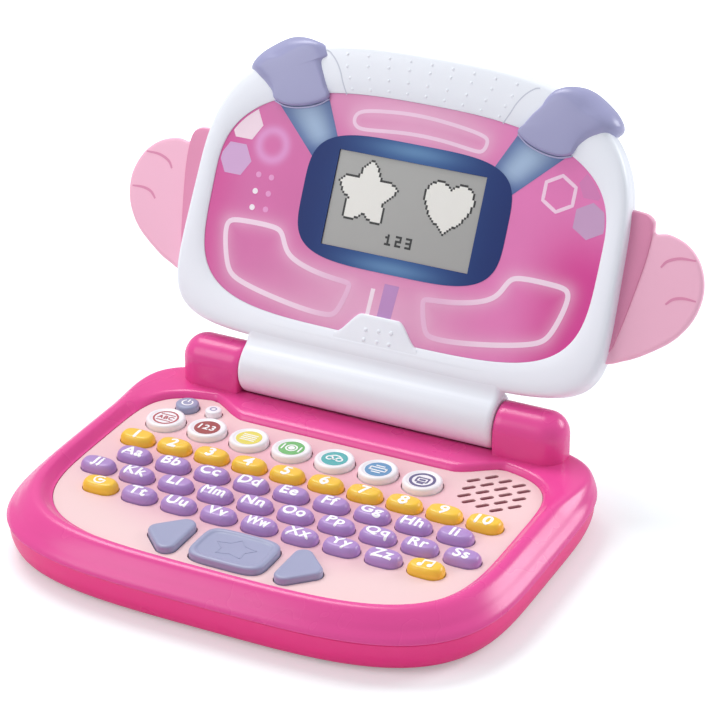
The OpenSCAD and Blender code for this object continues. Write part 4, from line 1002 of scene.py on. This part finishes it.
def panelInk(p):
    # Pink, paler below and above the screen, with painted light making it lighter from the middle to the
    # right, where the lamps reach it less, then deeper at the far right and at the left edge
    pink, pale, deep, rightLightPink, lilac = inkOf("#E078B2", "#F4BEDA", "#DC3A94", "#F086C2", "#EBA6DA")
    x, y = p[:, 0], p[:, 1]
    col = mixInk(pink, pale, 0.75 * np.exp(-(((x + 5) / 55) ** 2 + ((y + 52) / 22) ** 2)))
    col = mixInk(col, pale, 0.62 * np.exp(-((x / 62) ** 2 + ((y - 50) / 18) ** 2)))
    # painted light: the right half lit up to make up for the weaker lamp light there
    col = mixInk(col, rightLightPink, 0.8 * smooth((x - 15) / 50))
    col = mixInk(col, deep, 0.85 * smooth((x - 62) / 36) * smooth((22 - y) / 40))
    col = mixInk(col, deep, 0.45 * smooth((-x - 84) / 22))
    for line, strength in ((fieldLeft, 0.55), (fieldRight, 0.55), (fieldTop, 0.5)):
        col = mixInk(col, pale, strength * np.exp(-(outlineDistance(p, line) / 4.2) ** 1.5))
    ring = np.abs(np.hypot(x + 78, y - 19.5) - 7.6)
    return mixInk(col, lilac, 0.8 * np.exp(-(ring / 2.6) ** 2))


def windowSheet(rim, rows, top, low):
    # A sheet from its rim to the display's window, with its edges and the rims of its lower face
    half = np.array([panel["windowW"] / 2, panel["windowD"] / 2])
    window = rim * np.min(half / np.maximum(np.abs(rim), 1e-6), axis=1)[:, None]
    for corner in ((-1, -1), (-1, 1), (1, -1), (1, 1)):
        window[np.argmin(np.linalg.norm(window - half * corner, axis=1))] = half * corner
    grid = np.vstack([rim * (1 - k / (rows - 1)) + window * (k / (rows - 1)) for k in range(rows)])
    n, last = len(rim), (rows - 1) * len(rim)
    faces = loftFaces(rows, n, caps=False)
    for i in range(n):
        j, under = (i + 1) % n, last + n
        faces += [(under + i, under + j, j, i), (last + i, last + j, under + n + j, under + n + i),
                  (under + n + i, under + n + j, under + j, under + i)]
    return grid, (np.vstack([flat(grid, top), flat(np.vstack([rim, window]), low)]), faces)


def makePanel():
    size = dict(around=640, rows=76, thick=1.2, gap=0.1)
    rim = panelPoints(evenAngles(panelPoints, size["around"]), size["gap"])
    sheet = windowSheet(rim, size["rows"], lid["panelH"], lid["panelH"] - size["thick"])[1]
    lidPiece("printedPanel", sheet, sheetInk, "printed_panel", ["screen_panel"],
             ink=panelInk(sheet[0][:, :2]))


def stamp(name, prints, closed=True):
    inks = [colour if np.ndim(colour) == 2 else np.repeat(inkOf(colour), len(part[0]), 0)
            for part, colour in prints]
    lidPiece(name, joinParts([part for part, colour in prints]), sheetInk, "printed_panel", sharp=20,
             ink=np.vstack(inks), closed=closed)


def ribbon(line, width, softened=0, z0=8.5, z1=8.66):
    for _ in range(softened):  # opens tight corners, where the inner edge would fold over
        line = (np.roll(line, 1, 0) + 2 * line + np.roll(line, -1, 0)) / 4
    outer, inner = insetCurve(line, -width / 2), insetCurve(line, width / 2)
    return loft([flat(outer, z0), flat(outer, z1), flat(inner, z1), flat(inner, z0)], ring=True)


def divided(points, steps):
    p = np.array(points, float)
    return np.vstack([a + (b - a) * k / steps for a, b in zip(p, np.roll(p, -1, 0)) for k in range(steps)])


def hexagon(x, y, r, turn=0):
    a = np.radians(np.arange(6) * 60 + turn)
    return np.stack([x + r * np.cos(a), y + r * np.sin(a)], -1)


def clipped(points, inset=1.0):
    # Keeps a print inside the panel's outline
    p = divided(points, 8)
    low = p[:, 1] < 0
    a, n = panel["halfWidth"] - inset, np.where(low, panel["lowCorner"], panel["topCorner"])
    b = np.where(low, panel["bottom"], panel["top"]) - inset
    r = (np.abs(p[:, 0] / a) ** n + np.abs(p[:, 1] / b) ** n) ** (1 / n)
    return p / np.maximum(r, 1)[:, None]


def makeArtwork():
    size = dict(low=8.5, shape=8.64, mark=8.65, field=2.6, fieldTop=1.9, hexagon=1.8, dot=1.5)
    line, faint = inkOf("#FFE3F3", "#F4C2E0")
    prints = []
    for side, curve in ((-1, fieldLeft), (1, fieldRight)):  # lines that are brighter towards the outside
        part = ribbon(curve, size["field"], 10)
        start = 18 if side < 0 else 24
        prints.append((part, mixInk(faint, line, smooth((side * part[0][:, 0] - start) / 40))))
    part = ribbon(fieldTop, size["fieldTop"], 10)
    prints.append((part, mixInk(faint, line, np.full(len(part[0]), 0.55))))
    for shape, colour in (((-94.8, 28.5, 9.4), "#FCE3EE"), ((-97.2, 9.4, 9.2), "#DCB2DC"),
                          ((97.3, 12.8, 9.2, 30), "#D0A6CC"), ((95.6, 30, 7.6), "#DE88BE")):
        prints.append((slab(clipped(hexagon(*shape)), size["low"], size["shape"]), colour))
    prints.append((ribbon(divided(hexagon(79.1, 23.1, 9, 30), 6), size["hexagon"]), "#FFD9EE"))
    for k, (x, y) in enumerate(((-82.4, 3.6), (-75, 3.3), (-82.5, -5), (-74.9, -5.1), (-82.4, -13.4),
                                (-74.7, -13.2))):
        dot = slab(circlePoints(size["dot"], 24, x, y), size["low"], size["mark"])
        prints.append((dot, "#FFF6FB" if k in (2, 4) else "#F0A6D6"))
    for stripe, colour in (([(-8.4, -41), (-8.8, -55), (-6.6, -55), (-6.1, -41)], "#FFEAF5"),
                           ([(-1.6, -37.5), (-2.4, -55.2), (5.2, -55.2), (6.3, -37.5)], "#C796CC")):
        prints.append((slab(stripe, size["low"], size["mark"]), colour))
    stamp("panelPrint", prints)


def makeBands():
    # Blue bands from the corner caps down to the screen's dark surround
    size = dict(outer=((80.5, 42.6), (54.5, 17.5)), inner=((53, 50), (41.5, 26.5)), across=14, along=10,
                z=8.69)
    n, rows = size["across"] + 1, size["along"] + 1
    s, f = np.tile(np.arange(n) / size["across"], rows), np.repeat(np.arange(rows) / size["along"], n)
    a, b = [np.array(q[0]) + (np.array(q[1]) - q[0]) * f[:, None] for q in (size["outer"], size["inner"])]
    edgeBlue, midBlue, darkBlue = inkOf("#6A80AE", "#ABC3DE", "#4A639C")
    col = mixInk(edgeBlue, midBlue, np.sin(s * math.pi) ** 1.5 * (0.35 + 0.65 * np.sin(f * 2.6 + 0.35)))
    # Darker at the lower end by the surround, and painted shadow at the upper end below the corner caps
    col = mixInk(col, darkBlue, 0.8 * smooth((f - 0.72) / 0.28) + 0.35 * smooth((0.25 - f) / 0.25))
    faces = [(j * n + i + n, j * n + i + n + 1, j * n + i + 1, j * n + i)
             for j in range(size["along"]) for i in range(size["across"])]
    band = (flat(a + (b - a) * s[:, None], size["z"]), faces)
    stamp("blueBands", [(mirrored(band), col), (band, col)], closed=False)


def makeSurround():
    # Dark blue surround of the screen
    size = dict(halfWidth=56.3, halfDepth=33.1, corner=4, up=0.4, around=360, rows=20, top=8.76, low=7.5)

    def outline(t):
        return squircle(size["halfWidth"], size["halfDepth"], size["corner"], t)

    rim = outline(evenAngles(outline, size["around"])) + [0, size["up"]]
    grid, sheet = windowSheet(rim, size["rows"], size["top"], size["low"])
    navy, steel, sky = inkOf("#1C2F6C", "#3D639D", "#6C97BF")
    x, y = grid[:, 0], grid[:, 1]
    col = mixInk(navy, steel, 0.9 * np.exp(-(x / 34) ** 2))
    col = mixInk(col, sky, 0.75 * np.exp(-(x / 20) ** 2 - ((np.abs(y) - 29.5) / 3.4) ** 2))
    under = np.repeat([navy], len(sheet[0]) - len(grid), 0)
    lidPiece("screenSurround", sheet, sheetInk, "printed_panel", ink=np.vstack([col, under]))


# Display
cell = dict(columns=72, rows=43, pitch=1.125)
digits = {"1": ["010", "110", "010", "010", "111"], "2": ["111", "001", "111", "100", "111"],
          "3": ["111", "001", "111", "001", "111"]}


def starCells(x, y, r):
    a, d = np.arctan2(y, x) - math.pi / 2, np.hypot(x, y)
    fold = np.abs((a + math.pi / 5) % (2 * math.pi / 5) - math.pi / 5) / (math.pi / 5)
    return d < r * (1 - 0.44 * fold)


def heartCells(x, y, r):
    u, v = x / r, y / r
    return (u * u + v * v - 0.62) ** 3 < 1.15 * u * u * v ** 3


def cellMesh(mask, xs, ys, z):
    # One flat strip for each run of lit cells in a row
    verts, faces = [], []
    half = cell["pitch"] / 2
    for row, y in zip(mask, ys):
        ends = np.flatnonzero(np.diff(np.concatenate([[0], row.astype(int), [0]])))
        for first, after in zip(ends[::2], ends[1::2]):
            x0, x1, y0, y1 = xs[first] - half, xs[after - 1] + half, y - half, y + half
            faces.append(tuple(range(len(verts), len(verts) + 4)))
            verts += [(x0, y0, z), (x1, y0, z), (x1, y1, z), (x0, y1, z)]
    return verts, faces


def makeDisplay():
    size = dict(gap=0.05, low=6.2, top=8.1, pale=8.13, dark=8.15)
    a, b = panel["windowW"] / 2 - size["gap"], panel["windowD"] / 2 - size["gap"]
    glass = slab([(-a, -b), (a, -b), (a, b), (-a, b)], size["low"], size["top"])
    lidPiece("displayGlass", glass, lcdGrey, "lcd_glass", sharp=20)
    xs, ys = [(np.arange(cell[way]) - cell[way] / 2 + 0.5) * cell["pitch"] for way in ("columns", "rows")]
    gx, gy = np.meshgrid(xs, ys)
    pale = starCells(gx + 21.5, gy - 4.5, 16.5) | heartCells(gx - 23, gy - 3.5, 13.5)
    grown = pale.copy()
    for dx, dy in ((0, 1), (0, -1), (1, 0), (-1, 0)):
        grown |= np.roll(np.roll(pale, dx, 1), dy, 0)
    dark = grown & ~pale
    for k, digit in enumerate("123"):
        for r, line in enumerate(digits[digit]):
            for c, bit in enumerate(line):
                dark[9 - r, 30 + 5 * k + c] |= bit == "1"
    for name, mask, z, mat in (("displayPale", pale, size["pale"], lcdPale),
                               ("displayDark", dark, size["dark"], lcdDark)):
        lidPiece(name, cellMesh(mask, xs, ys, z), mat, "lcd_glass", closed=False, sharp=20)


makePanel()
makeArtwork()
makeBands()
makeSurround()
makeDisplay()
print("stage: printed panel and display")


# Small raised dots, by Geometry Nodes
def dotTree(name, material, lean):
    tree = bpy.data.node_groups.new(name + " tree", "GeometryNodeTree")
    for label, way, kind in (("Geometry", "INPUT", "Geometry"), ("Dot radius", "INPUT", "Float"),
                             ("Dot height", "INPUT", "Float"), ("Geometry", "OUTPUT", "Geometry")):
        tree.interface.new_socket(label, in_out=way, socket_type="NodeSocket" + kind)
    given = addNode(tree, "NodeGroupInput").outputs
    ball = addNode(tree, "GeometryNodeMeshUVSphere", {"Segments": 16, "Rings": 8,
                                                      "Radius": given["Dot radius"]})
    squash = addNode(tree, "ShaderNodeCombineXYZ", {"X": 1.0, "Y": 1.0, "Z": given["Dot height"]})
    turn = addNode(tree, "FunctionNodeInputVector", vector=(lean, 0, 0))
    spread = addNode(tree, "GeometryNodeInstanceOnPoints", {
        "Points": given["Geometry"], "Instance": ball.outputs[0], "Rotation": turn.outputs[0],
        "Scale": squash.outputs[0]})
    real = addNode(tree, "GeometryNodeRealizeInstances", {"Geometry": spread.outputs[0]})
    painted = addNode(tree, "GeometryNodeSetMaterial", {"Geometry": real.outputs[0], "Material": material})
    addNode(tree, "NodeGroupOutput", {"Geometry": painted.outputs[0]})
    return tree


def scatterDots(name, spots, radius, height, material, body):
    mesh = bpy.data.meshes.new(name)
    mesh.from_pydata((toObject(np.array(spots, float)) / 1000).tolist(), [], [])
    obj = bpy.data.objects.new(name, mesh)
    bpy.context.scene.collection.objects.link(obj)
    tree = dotTree(name, material, math.radians(90 - lid["lean"]))
    grow = obj.modifiers.new("dots", "NODES")
    grow.node_group = tree
    named = {s.name: s.identifier for s in tree.interface.items_tree if s.in_out == "INPUT"}
    grow[named["Dot radius"]] = radius / 1000
    grow[named["Dot height"]] = height / radius
    depsgraph = bpy.context.evaluated_depsgraph_get()
    made = bpy.data.meshes.new_from_object(obj.evaluated_get(depsgraph))
    obj.modifiers.clear()
    obj.data = made
    finishMesh(made)
    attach(obj, body)


handleDots = []
for pitch, high, drop in ((11.3, 69.3, 3.7), (10.65, 62.9, 2.8), (10.1, 57.6, 2.8), (11.6, 73.6, 2)):
    for k in range(-4, 5):  # each row bows down towards its ends
        u, v = k * pitch, high - drop * (k / 4) ** 2
        handleDots.append((u, v, float(frameHeight(u, v))))
scatterDots("handleDots", handleDots, 0.8, 0.4, whiteAbs, "lid")
bumpDots = [(x, y, 10.1) for x, y in ((-6.1, -61.9), (0.9, -61.4), (7.8, -61), (-6.1, -66.9), (1, -66.8),
                                      (7.7, -66.7))]
scatterDots("bumpDots", bumpDots, 1.1, 0.5, whiteAbs, "lid")
print("stage: raised dots")


# Finishes of the pieces that keep their solids
finishes = dict(key_deck=deckAbs, battery_door=deepPinkAbs, batteries=cellWrap, battery_contacts=springSteel,
                main_board=greenBoard, dome_sheet=siliconeSheet, speaker=speakerPaper, base_screws=zincSteel,
                rubber_feet=footRubber, hinge_pins=zincSteel, lcd_module=greenBoard, lid_screws=zincSteel)
for name, mat in finishes.items():
    for slot in nodes[name].material_slots:
        slot.material = mat
print("stage: finishes")
